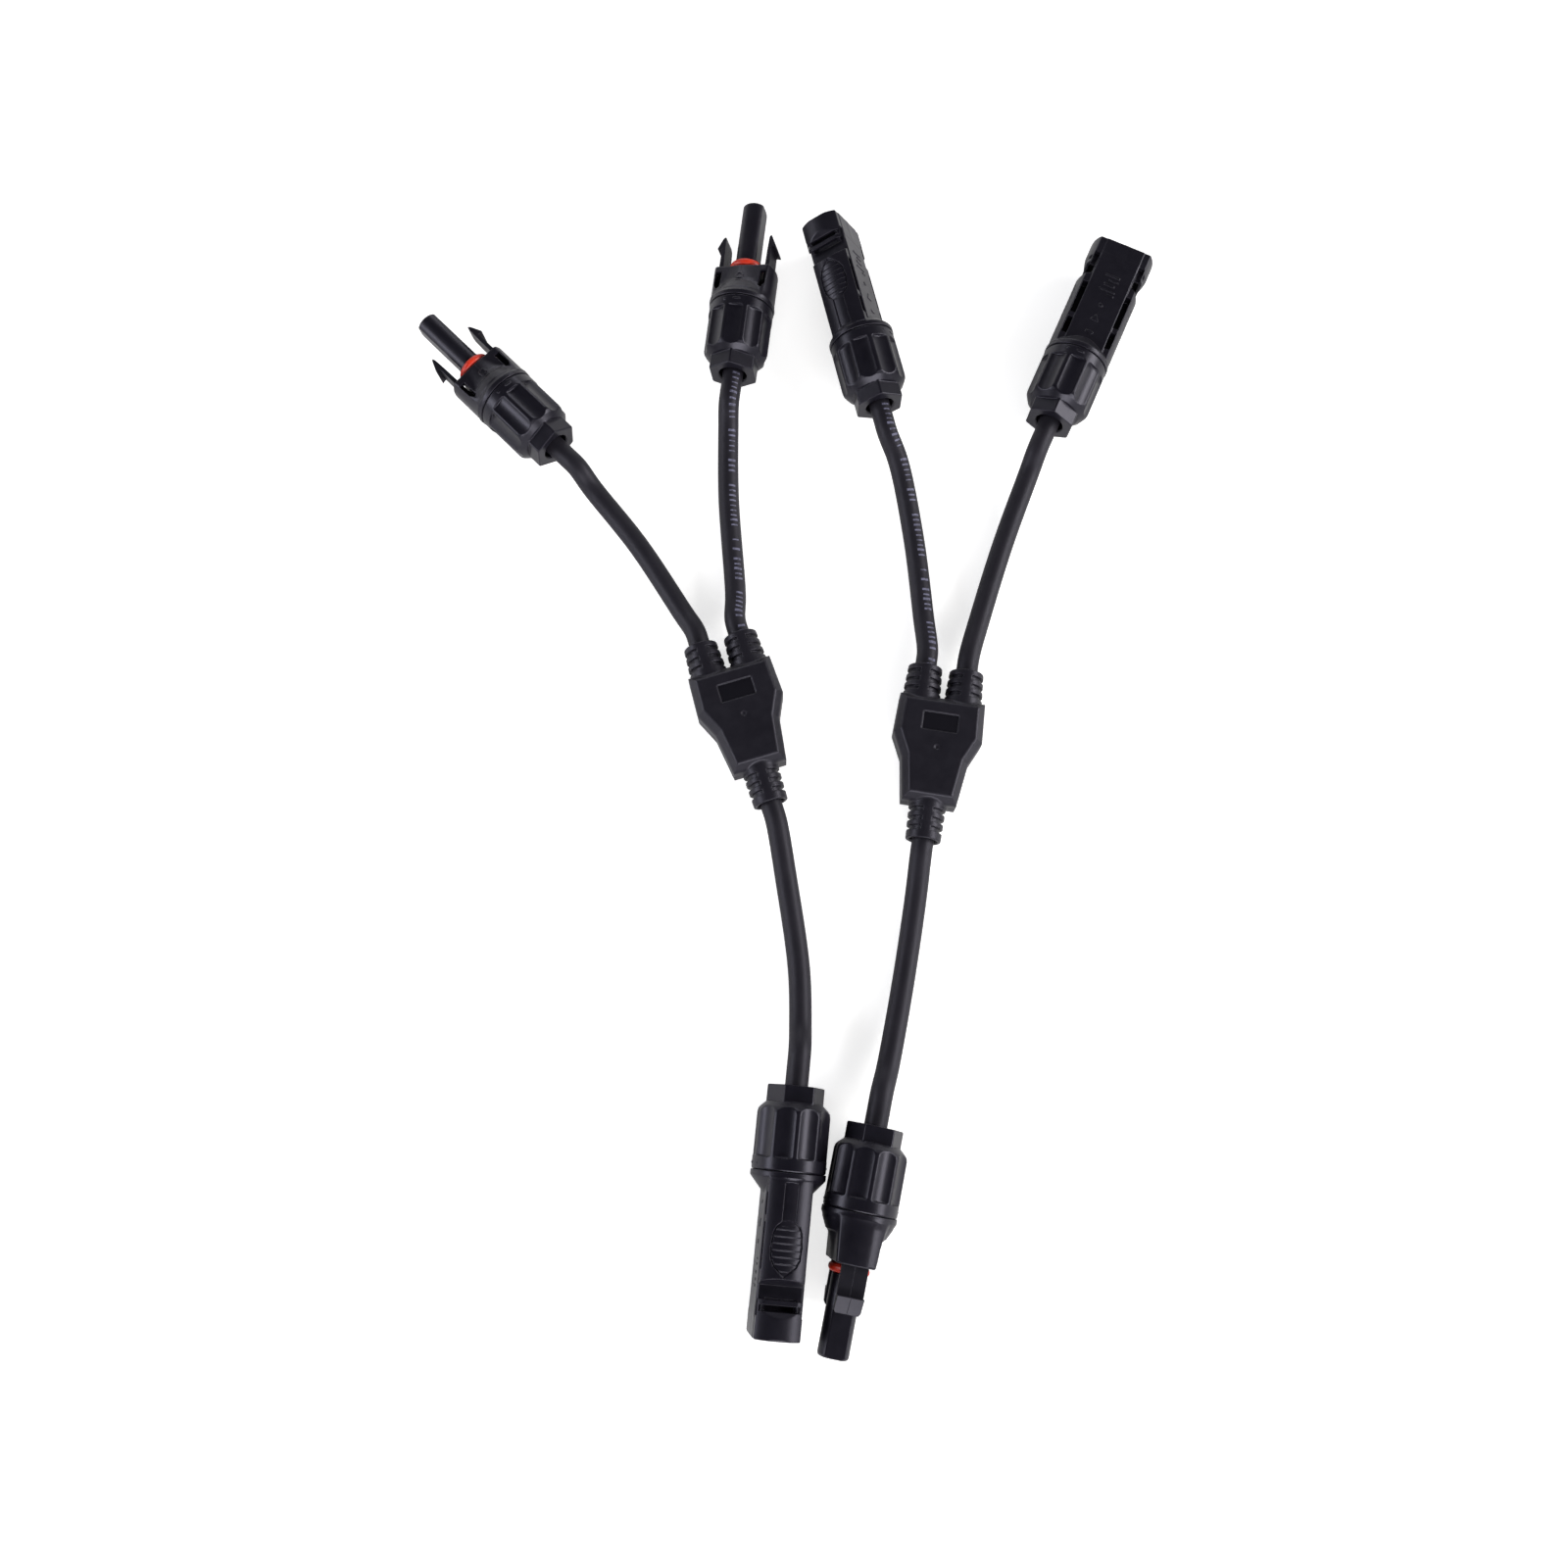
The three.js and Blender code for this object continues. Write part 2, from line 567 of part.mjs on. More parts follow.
// ---------------------------------------------------------------- cables
const CABLE_STEPS = 10;
const STRAIGHT_OUT = PIVOT_IN + 0.8;  // straight length leaving the boot
const STRAIGHT_IN = 5;                // straight length behind the nut
const EASE = 4;                       // control point spacing at the ends of the bend
const JACKET_SECTION = { radius: CABLE_R + 0.1, sides: 8, bore: BORE_R + 0.2, boreSides: 6 };
const WIRE_SECTION = { radius: WIRE_R, sides: 6 };

// Straight first and last step, with a spline in between. Only the sampling calls that
// ExtrudeGeometry makes are provided, at whole steps.
class CablePath extends THREE.Curve {
  constructor(start, startDirection, end, endDirection, bend) {
    super();
    Object.assign(this, { start, startDirection, end, endDirection, bend });
  }

  getPointAt(t) {
    const step = Math.round(t * CABLE_STEPS);
    if (step === 0) return this.start.clone();
    if (step === CABLE_STEPS) return this.end.clone();
    return this.bend.getPointAt((step - 1) / (CABLE_STEPS - 2));
  }

  getTangentAt(t) {
    const step = Math.round(t * CABLE_STEPS);
    if (step <= 1) return this.startDirection.clone();
    if (step >= CABLE_STEPS - 1) return this.endDirection.clone();
    return this.bend.getTangentAt((step - 1) / (CABLE_STEPS - 2));
  }
}

function makeCable(name, leg, hub, connector) {
  const boot = BOOTS[leg.exit];
  const pivotY = boot.end - boot.direction * PIVOT_IN;
  const start = new THREE.Vector3(boot.x, pivotY, 0).applyMatrix4(hub.matrix);
  const outward = new THREE.Vector3(0, boot.direction, 0).transformDirection(hub.matrix);
  const axis = new THREE.Vector3(1, 0, 0).transformDirection(connector.matrix);
  const onAxis = (along) => new THREE.Vector3(along, 0, 0).applyMatrix4(connector.matrix);
  const bendStart = start.clone().addScaledVector(outward, STRAIGHT_OUT);
  const bend = new THREE.CatmullRomCurve3([
    bendStart,
    bendStart.clone().addScaledVector(outward, EASE),
    ...leg.via.map((point) => new THREE.Vector3(...point)),
    onAxis(-STRAIGHT_IN - EASE),
    onAxis(-STRAIGHT_IN),
  ]);
  const sweepTo = (end, section) => {
    const path = new CablePath(start, outward, onAxis(end), axis, bend);
    return sweep(path, { ...section, steps: CABLE_STEPS });
  };
  return [
    makeMesh(`${name}_cable_jacket`, sweepTo(JACKET_END, JACKET_SECTION), LOOKS.jacket),
    makeMesh(`${name}_cable_conductor`, sweepTo(CRIMP.end - 0.6, WIRE_SECTION), LOOKS.copper),
  ];
}

// ---------------------------------------------------------------- assembly
function makeSplitter(name, { position, up }) {
  const group = new THREE.Group();
  group.position.set(...position, SPLITTER.thickness / 2);
  group.rotation.z = Math.atan2(up[1], up[0]) - Math.PI / 2;
  group.updateMatrix();
  group.add(
    makeMesh(`${name}_splitter_overmould`, makeOvermould(), LOOKS.black),
    makeMesh(`${name}_splitter_inner_mould`, makeCore(), LOOKS.core),
    makeMesh(`${name}_splice_ferrule`, makeFerrule(), LOOKS.tin),
    makeMesh(`${name}_splice_wires`, makeSplice(0), LOOKS.copper),
  );
  return group;
}

function makeConnector(name, leg) {
  const group = new THREE.Group();
  group.position.set(...leg.position, AXIS_Z);
  group.rotation.set(leg.roll * DEGREE, 0, leg.yaw * DEGREE, 'ZYX');
  group.updateMatrix();
  const add = (part, solid, look) => group.add(makeMesh(`${name}_${part}`, solid, look));
  add('gland_nut', makeNut(), LOOKS.nutBlack);
  group.children[0].rotation.x = leg.nutTurn * DEGREE;
  add('clamp_cage', makeCage(), LOOKS.nylon);
  add('gland_seal', makeSeal(), LOOKS.rubber);
  if (leg.kind === 'socket') {
    add('socket_housing', makeSocketHousing(), LOOKS.black);
    add('socket_contact', makeContact(SOCKET_CONTACT), LOOKS.tin);
    add('o_ring', makeORing(), LOOKS.red);
    add('latch_arm_left', makeLatchArm(1), LOOKS.black);
    add('latch_arm_right', makeLatchArm(-1), LOOKS.black);
  } else {
    add('plug_housing', makePlugHousing(), LOOKS.black);
    add('pin_contact', makeContact(PIN_CONTACT), LOOKS.tin);
  }
  return group;
}

const model = new THREE.Group();
model.name = 'solar_y_branch_pair';
const world = new THREE.Group();
model.add(world);

const splitters = {};
for (const [name, hub] of Object.entries(HUBS)) {
  splitters[name] = makeSplitter(name, hub);
  world.add(splitters[name]);
}
for (const [name, leg] of Object.entries(LEGS)) {
  const connector = makeConnector(name, leg);
  world.add(...makeCable(name, leg, splitters[leg.hub], connector), connector);
}

// centre the footprint on the origin and rest it on the table
model.updateMatrixWorld(true);
const bounds = new THREE.Box3().setFromObject(model, true);
const middle = bounds.getCenter(new THREE.Vector3());
world.position.set(-middle.x, -middle.y, -bounds.min.z);

export default model;
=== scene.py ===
"""Two Y-shaped cable harnesses, a and b, lying side by side on a white floor.

Harness a lies on the -x side and b on the +x side. From each splitter a left and a right
cable run towards +y and a lower cable towards -y. Every cable ends in a socket or a plug
with a gland nut. Shapes are worked out in millimetres as signed distances (negative
inside), each in its own frame, meshed, and then placed in metres from the CAD record.
"""
import json
import math

import bpy
import numpy as np
from mathutils import Matrix, Vector


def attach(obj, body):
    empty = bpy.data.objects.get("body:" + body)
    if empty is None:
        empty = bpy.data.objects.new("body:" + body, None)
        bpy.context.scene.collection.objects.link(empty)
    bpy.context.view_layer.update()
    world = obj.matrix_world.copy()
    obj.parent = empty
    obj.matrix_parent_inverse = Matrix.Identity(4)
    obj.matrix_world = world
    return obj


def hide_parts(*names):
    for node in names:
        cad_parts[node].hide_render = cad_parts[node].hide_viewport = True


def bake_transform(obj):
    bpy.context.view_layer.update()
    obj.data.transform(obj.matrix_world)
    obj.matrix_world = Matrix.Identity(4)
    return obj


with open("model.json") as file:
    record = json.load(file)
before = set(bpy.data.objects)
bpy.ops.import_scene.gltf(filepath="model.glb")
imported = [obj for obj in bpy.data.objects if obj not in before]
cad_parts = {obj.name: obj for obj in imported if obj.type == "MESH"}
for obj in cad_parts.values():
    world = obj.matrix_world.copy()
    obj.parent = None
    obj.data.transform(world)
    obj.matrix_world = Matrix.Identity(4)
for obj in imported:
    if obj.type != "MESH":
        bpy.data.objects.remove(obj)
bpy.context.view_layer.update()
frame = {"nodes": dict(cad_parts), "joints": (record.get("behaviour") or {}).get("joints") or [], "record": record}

JOINTS = {joint["name"]: joint for joint in frame["joints"]}
MOUNTS = {mount["name"]: mount for mount in frame["record"]["mounts"]}
COARSE = 1.0  # factor on every mesh step
MM = 0.001
FULL_TURN = 2 * math.pi

SOCKETS = ("a_left", "a_right", "b_lower")
PLUGS = ("a_lower", "b_left", "b_right")


# ---------------------------------------------------------------- signed distances
# The last argument of inter, union, cut and box is the fillet radius.
def inter(first, second, fillet):
    if fillet <= 0:
        return np.maximum(first, second)
    rounded = np.hypot(np.maximum(first + fillet, 0), np.maximum(second + fillet, 0))
    return np.minimum(np.maximum(first, second), -fillet) + rounded


def union(first, second, fillet):
    return -inter(-first, -second, fillet)


def cut(body, tool, fillet):
    return inter(body, -tool, fillet)


def outline(x, y, points):
    """Distance to a closed outline of (x, y) points."""
    points = np.asarray(points, float)
    nearest = np.full(x.shape, 1e9)
    sign = np.ones(x.shape)
    for i, (from_x, from_y) in enumerate(points):
        to_x, to_y = points[i - 1]
        edge_x, edge_y = to_x - from_x, to_y - from_y
        off_x, off_y = x - from_x, y - from_y
        length_squared = edge_x * edge_x + edge_y * edge_y
        share = np.clip((off_x * edge_x + off_y * edge_y) / length_squared, 0, 1)
        gap_squared = (off_x - edge_x * share) ** 2 + (off_y - edge_y * share) ** 2
        nearest = np.minimum(nearest, gap_squared)
        above = y >= from_y
        below = y < to_y
        beside = edge_x * off_y > edge_y * off_x
        crossed = (above & below & beside) | (~above & ~below & ~beside)
        sign = np.where(crossed, -sign, sign)
    return sign * np.sqrt(nearest)


def box(x, y, z, low, high, fillet):
    centre = [(a + b) / 2 for a, b in zip(low, high)]
    half = [(b - a) / 2 - fillet for a, b in zip(low, high)]
    past = [np.abs(p - c) - h for p, c, h in zip((x, y, z), centre, half)]
    outside = np.sqrt(sum(np.maximum(p, 0) ** 2 for p in past))
    return outside + np.minimum(np.maximum(np.maximum(past[0], past[1]), past[2]), 0) - fillet


def slab(value, low, high):
    return np.abs(value - (low + high) / 2) - (high - low) / 2


# ---------------------------------------------------------------- surface nets
BLOCK = 5  # grid points along the edge of a block that is first tested at its centre
BATCH = 4000  # blocks sampled at once
SLOPE_STEP = 0.03


def sample(field, low, count, step):
    """Field values on the grid, exact near the surface and one per block elsewhere."""
    blocks = count // BLOCK
    middles = [low[i] + step * (BLOCK * np.arange(blocks[i]) + (BLOCK - 1) / 2) for i in range(3)]
    grid = np.meshgrid(*middles, indexing="ij")
    rough = field(*(part.ravel() for part in grid)).reshape(blocks)
    values = np.repeat(np.repeat(np.repeat(rough, BLOCK, 0), BLOCK, 1), BLOCK, 2)
    values = values.astype(np.float32)
    near = np.argwhere(np.abs(rough) < BLOCK * step * 0.95 + 0.45)
    offsets = np.stack(np.meshgrid(*[np.arange(BLOCK)] * 3, indexing="ij"), -1).reshape(-1, 3)
    for i in range(0, len(near), BATCH):
        points = (near[i : i + BATCH, None, :] * BLOCK + offsets[None]).reshape(-1, 3)
        values[tuple(points.T)] = field(*(low + points * step).T)
    return values


def net_vertices(values, cells):
    """Mean of the edge crossings of each cell, in grid units."""
    total = np.zeros((len(cells), 3))
    crossings = np.zeros(len(cells))
    for axis in range(3):
        sides = [k for k in range(3) if k != axis]
        for shift in np.ndindex(2, 2):
            start = cells.copy()
            start[:, sides] += shift
            end = start.copy()
            end[:, axis] += 1
            value_0 = values[tuple(start.T)].astype(float)
            value_1 = values[tuple(end.T)].astype(float)
            crossed = (value_0 < 0) != (value_1 < 0)
            share = np.where(crossed, value_0 / np.where(crossed, value_0 - value_1, 1), 0)
            spot = start.astype(float)
            spot[:, axis] += share
            total[crossed] += spot[crossed]
            crossings[crossed] += 1
    return total, crossings[:, None]


def net_quads(inside, index, count):
    """One quad around each grid edge that crosses the surface, facing outwards."""
    quads = []
    for axis in range(3):
        side_1, side_2 = (axis + 1) % 3, (axis + 2) % 3
        edges = np.argwhere(np.diff(inside, axis=axis))
        for side in (side_1, side_2):
            edges = edges[(edges[:, side] > 0) & (edges[:, side] < count[side] - 1)]
        corners = []
        for shift in ((0, 0), (-1, 0), (-1, -1), (0, -1)):
            cell = edges.copy()
            cell[:, [side_1, side_2]] += shift
            corners.append(index[tuple(cell.T)])
        quad = np.stack(corners, 1)
        starts_outside = ~inside[tuple(edges.T)]
        quad[starts_outside] = quad[starts_outside][:, ::-1]
        quads.append(quad)
    return np.concatenate(quads)


def slope(field, points, value):
    result = np.zeros_like(points)
    for k in range(3):
        moved = points.copy()
        moved[:, k] += SLOPE_STEP
        result[:, k] = (field(*moved.T) - value) / SLOPE_STEP
    return result


def settle(field, vertices, step):
    """Pull the vertices onto the surface, and give their normals."""
    value = field(*vertices.T)
    gradient = slope(field, vertices, value)
    steepness = np.maximum((gradient * gradient).sum(1), 0.2)[:, None]
    moved = vertices
    for _ in range(2):
        pull = value[:, None] * gradient / steepness
        moved = moved - np.clip(pull, -0.6 * step, 0.6 * step)
        value = field(*moved.T)
    vertices = vertices + np.clip(moved - vertices, -0.8 * step, 0.8 * step)
    normals = slope(field, vertices, field(*vertices.T))
    normals /= np.maximum(np.linalg.norm(normals, axis=1), 1e-9)[:, None]
    return vertices, normals


def skin(name, field, low, high, step):
    """A closed mesh of the zero surface of field(x, y, z), in metres, with smooth normals."""
    step = step * COARSE
    low = np.array(low, float) - 1.5 * step
    reach = np.array(high, float) + 1.5 * step - low
    count = (np.ceil(reach / step / BLOCK).astype(int)) * BLOCK
    values = sample(field, low, count, step)
    inside = values < 0
    corners = np.zeros(count - 1, np.int8)
    for shift in np.ndindex(2, 2, 2):
        corners += inside[tuple(slice(s, n - 1 + s) for s, n in zip(shift, count))]
    active = (corners > 0) & (corners < 8)
    cells = np.argwhere(active)
    index = np.full(active.shape, -1, np.int32)
    index[active] = np.arange(len(cells))
    total, crossings = net_vertices(values, cells)
    quads = net_quads(inside, index, count)
    vertices, normals = settle(field, low + step * total / crossings, step)
    return mesh_of(name, vertices * MM, quads, normals)


def mesh_of(name, vertices, quads, normals=None, uv=None):
    """A smooth quad mesh with a UV map, or without one its own coordinates as "loc"."""
    mesh = bpy.data.meshes.new(name)
    flat = np.asarray(vertices, np.float32).ravel()
    mesh.vertices.add(len(vertices))
    mesh.vertices.foreach_set("co", flat)
    mesh.loops.add(quads.size)
    mesh.loops.foreach_set("vertex_index", np.asarray(quads, np.int32).ravel())
    mesh.polygons.add(len(quads))
    mesh.polygons.foreach_set("loop_start", np.arange(0, quads.size, 4, dtype=np.int32))
    mesh.polygons.foreach_set("use_smooth", np.ones(len(quads), bool))
    if uv is not None:
        layer = mesh.uv_layers.new(name="UVMap")
        layer.data.foreach_set("uv", np.asarray(uv, np.float32).ravel())
    else:
        mesh.attributes.new("loc", "FLOAT_VECTOR", "POINT").data.foreach_set("vector", flat)
    mesh.update(calc_edges=True)
    mesh.validate()
    if normals is not None:
        mesh.normals_split_custom_set_from_vertices(np.asarray(normals, float).tolist())
    return mesh


def ring_quads(rings, segments):
    """Quads joining each ring of vertices to the next, and the last to the first."""
    i, j = np.meshgrid(np.arange(rings), np.arange(segments), indexing="ij")
    i_next, j_next = (i + 1) % rings, (j + 1) % segments
    corners = ((i, j), (i_next, j), (i_next, j_next), (i, j_next))
    return np.stack([a * segments + b for a, b in corners], -1).reshape(-1, 4)


# ---------------------------------------------------------------- connector shapes
# x runs from the rear of the gland nut to the mating end, y towards the latch arms
# and z out of the broad face. Outlines are (x, radius) points unless noted.

# gland nut
NUT_OUTLINE = [
    (4.2, 0), (4.2, 6.6), (4.3, 7.3), (5.6, 8.75), (6.3, 9.3), (7.2, 9.5),
    (20.85, 9.5), (21.2, 9.3), (21.2, 0)]
NUT_HOLE = [
    (-2, 0), (-2, 5.0), (0, 4.3), (0.4, 4.02), (3, 4.0), (8.2, 7.9),
    (20.7, 7.9), (21.2, 8.2), (23, 8.2), (23, 0)]
FLUTE_PITCH = FULL_TURN / 10
FLUTE_CENTRE, FLUTE_RADIUS, FLUTE_END_X = 14.9, 6.25, 18.0
NUT_DASHES = ((90, 0.75), (68, 0.28), (270, 0.75), (248, 0.28))  # degrees, size
HEXAGON_HALF, HEXAGON_LENGTH = 6.5, 8

# tail shared by both housings
TAIL_CORE = [(10.8, 0), (10.8, 6.5), (11.2, 6.85), (22, 6.85), (22, 0)]
THREAD_ROOT, THREAD_DEPTH, THREAD_PITCH = 6.85, 0.68, 1.5
THREAD_START_X, THREAD_FADE_X, THREAD_END_X = 10.9, 20.9, 22
SHOULDER = [(21.3, 0), (21.3, 9.5), (21.45, 9.64), (22.6, 9.64), (22.85, 9.5)]
TAIL_HOLLOW = [(9, 0), (9, 6.3), (21.9, 6.3), (23.2, 3.1), (30, 3.1), (30, 0)]


def nut_shape(x, y, z):
    radius = np.hypot(y, z)
    body = outline(x, radius, NUT_OUTLINE)
    # one flute sector, folded from all ten
    turn = np.mod(np.arctan2(z, y), FLUTE_PITCH) - FLUTE_PITCH / 2
    out, side = radius * np.cos(turn), radius * np.sin(turn)
    flute = np.hypot(out - FLUTE_CENTRE, side) - FLUTE_RADIUS
    body = cut(body, inter(flute, x - FLUTE_END_X, 0.45), 0.16)
    # flat facet where each flute runs out over the rear shoulder
    slant = (out - 8.15) * 0.86 + (4.3 - x) * 0.5
    facet = inter(-slant, np.abs(side) - 1.75, 0.3)
    body = cut(body, inter(facet, x - 6.6, 0.2), 0.14)
    # two small raised dashes on the front band, on each broad side
    for degrees, size in NUT_DASHES:
        cosine, sine = math.cos(math.radians(degrees)), math.sin(math.radians(degrees))
        out, side = y * cosine + z * sine, -y * sine + z * cosine
        low, high = (19.4, -size * 1.4, 8.6), (20.0, size * 1.4, 9.64)
        body = union(body, box(x, side, out, low, high, 0.12), 0.08)
    # hexagon at the rear, chamfered behind
    angles = [k * math.pi / 3 for k in range(3)]
    flats = [np.abs(y * math.cos(a) + z * math.sin(a)) - HEXAGON_HALF for a in angles]
    hexagon = inter(inter(flats[0], flats[1], 0.25), flats[2], 0.25)
    hexagon = inter(hexagon, slab(x, 0, HEXAGON_LENGTH), 0.25)
    hexagon = inter(hexagon, (radius - 7.3) * 0.87 - x * 0.5, 0.15)
    return cut(union(body, hexagon, 0.2), outline(x, radius, NUT_HOLE), 0.12)


def housing_tail(x, y, z, cone_end):
    """Threaded tail, shoulder, and a cone that ends at cone_end (x, radius)."""
    radius = np.hypot(y, z)
    phase = np.mod(x / THREAD_PITCH - np.arctan2(z, y) / FULL_TURN, 1.0)
    crest = THREAD_ROOT + THREAD_DEPTH * np.clip(1.35 - 2.7 * np.abs(phase - 0.5), 0, 1)
    fade_in = np.clip((x - THREAD_START_X) / 1.4, 0, 1)
    fade = fade_in * np.clip((THREAD_FADE_X - x) / 0.8, 0, 1)
    thread = radius - (THREAD_ROOT + (crest - THREAD_ROOT) * fade)
    # scaled down, as the slanted thread overstates its distance
    thread = inter(thread, slab(x, THREAD_START_X, THREAD_END_X), 0.2) * 0.7
    core = outline(x, radius, TAIL_CORE)
    cone = outline(x, radius, SHOULDER + [cone_end, (cone_end[0], 0)])
    return union(union(core, thread, 0.1), cone, 0.25)


# socket housing
STOP_X = 33.8  # front of the barrel and wings
SOCKET_CONE_END = (26.5, 7.7)
BARREL = [
    (24, 0), (24, 8.6), (26.2, 7.5), (28.6, 6.45), (31.5, 5.65), (33.4, 5.15),
    (STOP_X, 4.75), (STOP_X, 0)]
# what the hollows leave standing of the barrel
BARREL_KEEP = [
    (20, 0), (20, 8.5), (25.6, 7.5), (29, 6.3), (31.5, 5.65), (36, 5.1), (36, 0)]
WING_PLAN = [(22.6, 0), (22.6, 9.3), (24.4, 9.6), (STOP_X, 9.6), (STOP_X, 0)]  # x, |y|
WING_HOLLOW = (25.4, 5.7, -3.7), (36, 8.3, 3.7)
SOCKET_WINDOW = [(31.5, 6.0), (31.5, 7.7), (27.0, 7.7), (25.5, 6.9), (26.1, 6.0)]  # x, |y|
NOSE = [(33, 0), (33, 4.0), (55.7, 4.0), (56.2, 3.75), (56.4, 3.4), (56.4, 0)]
NOSE_FLAT, NOSE_FLAT_X = 3.1, 37.2
RING_SEAT = [(STOP_X, 2.95), (36.55, 2.95), (36.55, 9), (STOP_X, 9)]
SOCKET_BORE = [
    (20, 0), (20, 3.1), (33.2, 3.1), (33.6, 2.6), (54.6, 2.6), (54.6, 2.2),
    (56.0, 2.2), (56.6, 2.75), (58, 2.75), (58, 0)]
MARK_X = 29.4


def socket_marks(body, x, y, z, radius):
    """A small ring and two ticks on the +z broad face."""
    ring = inter(np.abs(np.hypot(x - MARK_X, y) - 1.0) - 0.24, slab(z, 5.4, 6.9), 0.08)
    ring = inter(ring, radius - (6.62 - 0.28 * (x - 29.0)), 0.08)
    body = union(body, ring, 0.06)
    for shift in (-2.3, -3.1):
        tick_x = MARK_X + shift
        top = 7.62 - 0.45 * (tick_x - 26.2)  # follows the cone
        low, high = (tick_x - 0.2, -0.75, 4.5), (tick_x + 0.2, 0.75, top + 0.1)
        body = union(body, box(x, y, z, low, high, 0.1), 0.08)
    return body


def socket_shape(x, y, z):
    radius, abs_y, abs_z = np.hypot(y, z), np.abs(y), np.abs(z)
    body = housing_tail(x, y, z, SOCKET_CONE_END)
    body = union(body, outline(x, radius, BARREL), 0.8)
    # side wings, half cylinders that get narrower towards the front
    narrowing = (abs_z - (6.1 - 0.112 * (x - 24))) * 0.994
    wings = inter(outline(x, abs_y, WING_PLAN), narrowing, 0.45)
    body = union(body, inter(wings, radius - 9.55, 0.5), 0.9)
    # hollow inside each wing, open at the front, and a window through the +z face
    keep = outline(x, radius, BARREL_KEEP)
    hollow = cut(box(x, abs_y, abs_z, *WING_HOLLOW, 0.3), keep, 0.2)
    body = cut(body, hollow, 0.2)
    window = inter(outline(x, abs_y, SOCKET_WINDOW), 3.0 - z, 0.2)
    body = cut(body, cut(window, keep, 0.2), 0.2)
    # nose with two flats, and the seat of the sealing ring behind them
    flats = inter(NOSE_FLAT - abs_y, NOSE_FLAT_X - x, 0.3)
    nose = cut(outline(x, radius, NOSE), flats, 0.18)
    body = cut(union(body, nose, 0.15), outline(x, radius, RING_SEAT), 0.15)
    body = socket_marks(body, x, y, z, radius)
    hollow = outline(x, radius, TAIL_HOLLOW)
    return cut(body, union(hollow, outline(x, radius, SOCKET_BORE), 0), 0.1)


# plug housing
FRONT_X = 60.6
PLUG_CONE_END = (26.9, 5.9)
CORE_Y, CORE_Z = 6.0, 5.9  # half width and half height of the square core
RAIL_PLAN = [
    (22.6, 0), (22.6, 9.2), (24.6, 9.5), (46.3, 9.5), (48.0, 6.3), (48.0, 0)]  # x, |y|
RAIL_SLOTS = (  # x, |y|, |z|
    ((33.4, 5.6, 2.6), (44.6, 7.55, 12)),
    ((26.2, 5.6, 2.6), (31.8, 7.55, 12)))
NECK = (45.5, -6.3, -5.55), (56.0, 6.3, 5.55)
HEAD_PLAN = [  # x, |y|
    (51.3, 0), (51.3, 8.7), (54.0, 8.75), (55.6, 9.8), (60.1, 9.8), (FRONT_X, 9.3),
    (FRONT_X, 0)]
HEAD_WINDOW = [(50.0, 6.1), (55.2, 6.1), (55.2, 7.85), (50.0, 7.85)]  # x, |y|
ARM_CHANNEL = (51.2, 6.15, -3.9), (64, 7.9, 3.9)
CATCH_SLIT = (52.5, 5.0, -3.9), (54.0, 12, 3.9)
CATCH_SLIT_OUTER = (52.5, 7.9, -5.2), (54.0, 12, 5.2)
GRIP_HALF = [  # x, z
    (32.6, 0), (33.0, 1.7), (34.0, 2.9), (35.6, 3.6), (38.8, 3.9), (41.8, 3.7),
    (43.6, 2.8), (44.7, 1.5), (46.0, 0)]
GRIP = GRIP_HALF + [(a, -b) for a, b in GRIP_HALF[-2:0:-1]]
RIDGE_COUNT, RIDGE_START_X, RIDGE_PITCH, RIDGE_HEIGHT = 7, 33.4, 1.62, 0.3
GRIP_FLOOR = 9.2  # radius the ridges rise from
MARK_TOP = 6.08
MARK_BARS = (  # x from and to, y from and to
    (48.6, 49.2, -2.2, 2.2), (47.2, 47.7, -2.2, 0.6), (45.4, 46.2, -1.6, 1.6),
    (43.6, 44.1, -2.4, 2.4), (42.3, 42.8, -2.4, -0.4))
MARK_WEDGE = [(33.0, -1.3), (35.3, 0), (33.0, 1.3)]  # x, y
PLUG_CAVITY = [
    (39.6, 0), (39.6, 4.4), (54.6, 4.4), (55.2, 4.9), (60.2, 4.9), (60.7, 5.3),
    (62.5, 5.3), (62.5, 0)]
PLUG_BORE = [(20, 0), (20, 3.1), (34.2, 3.1), (34.6, 2.4), (41, 2.4), (41, 0)]


def square_core(x, abs_y, abs_z, start, end):
    return inter(inter(abs_y - CORE_Y, abs_z - CORE_Z, 0.45), slab(x, start, end), 0.3)


def plug_head(x, radius, abs_y, abs_z):
    """T head: full wings in front, thinner and windowed behind."""
    head = inter(outline(x, abs_y, HEAD_PLAN), abs_z - 5.75, 0.3)
    head = inter(head, radius - 9.68, 0.18)
    window = inter(outline(x, abs_y, HEAD_WINDOW), 4.5 - abs_z, 0.1)
    head = cut(head, window, 0.1)
    tube = inter(radius - 5.85, slab(x, 54.0, FRONT_X), 0.4)
    front = square_core(x, abs_y, abs_z, 53.0, FRONT_X)
    return union(head, union(front, tube, 0.3), 0.2)


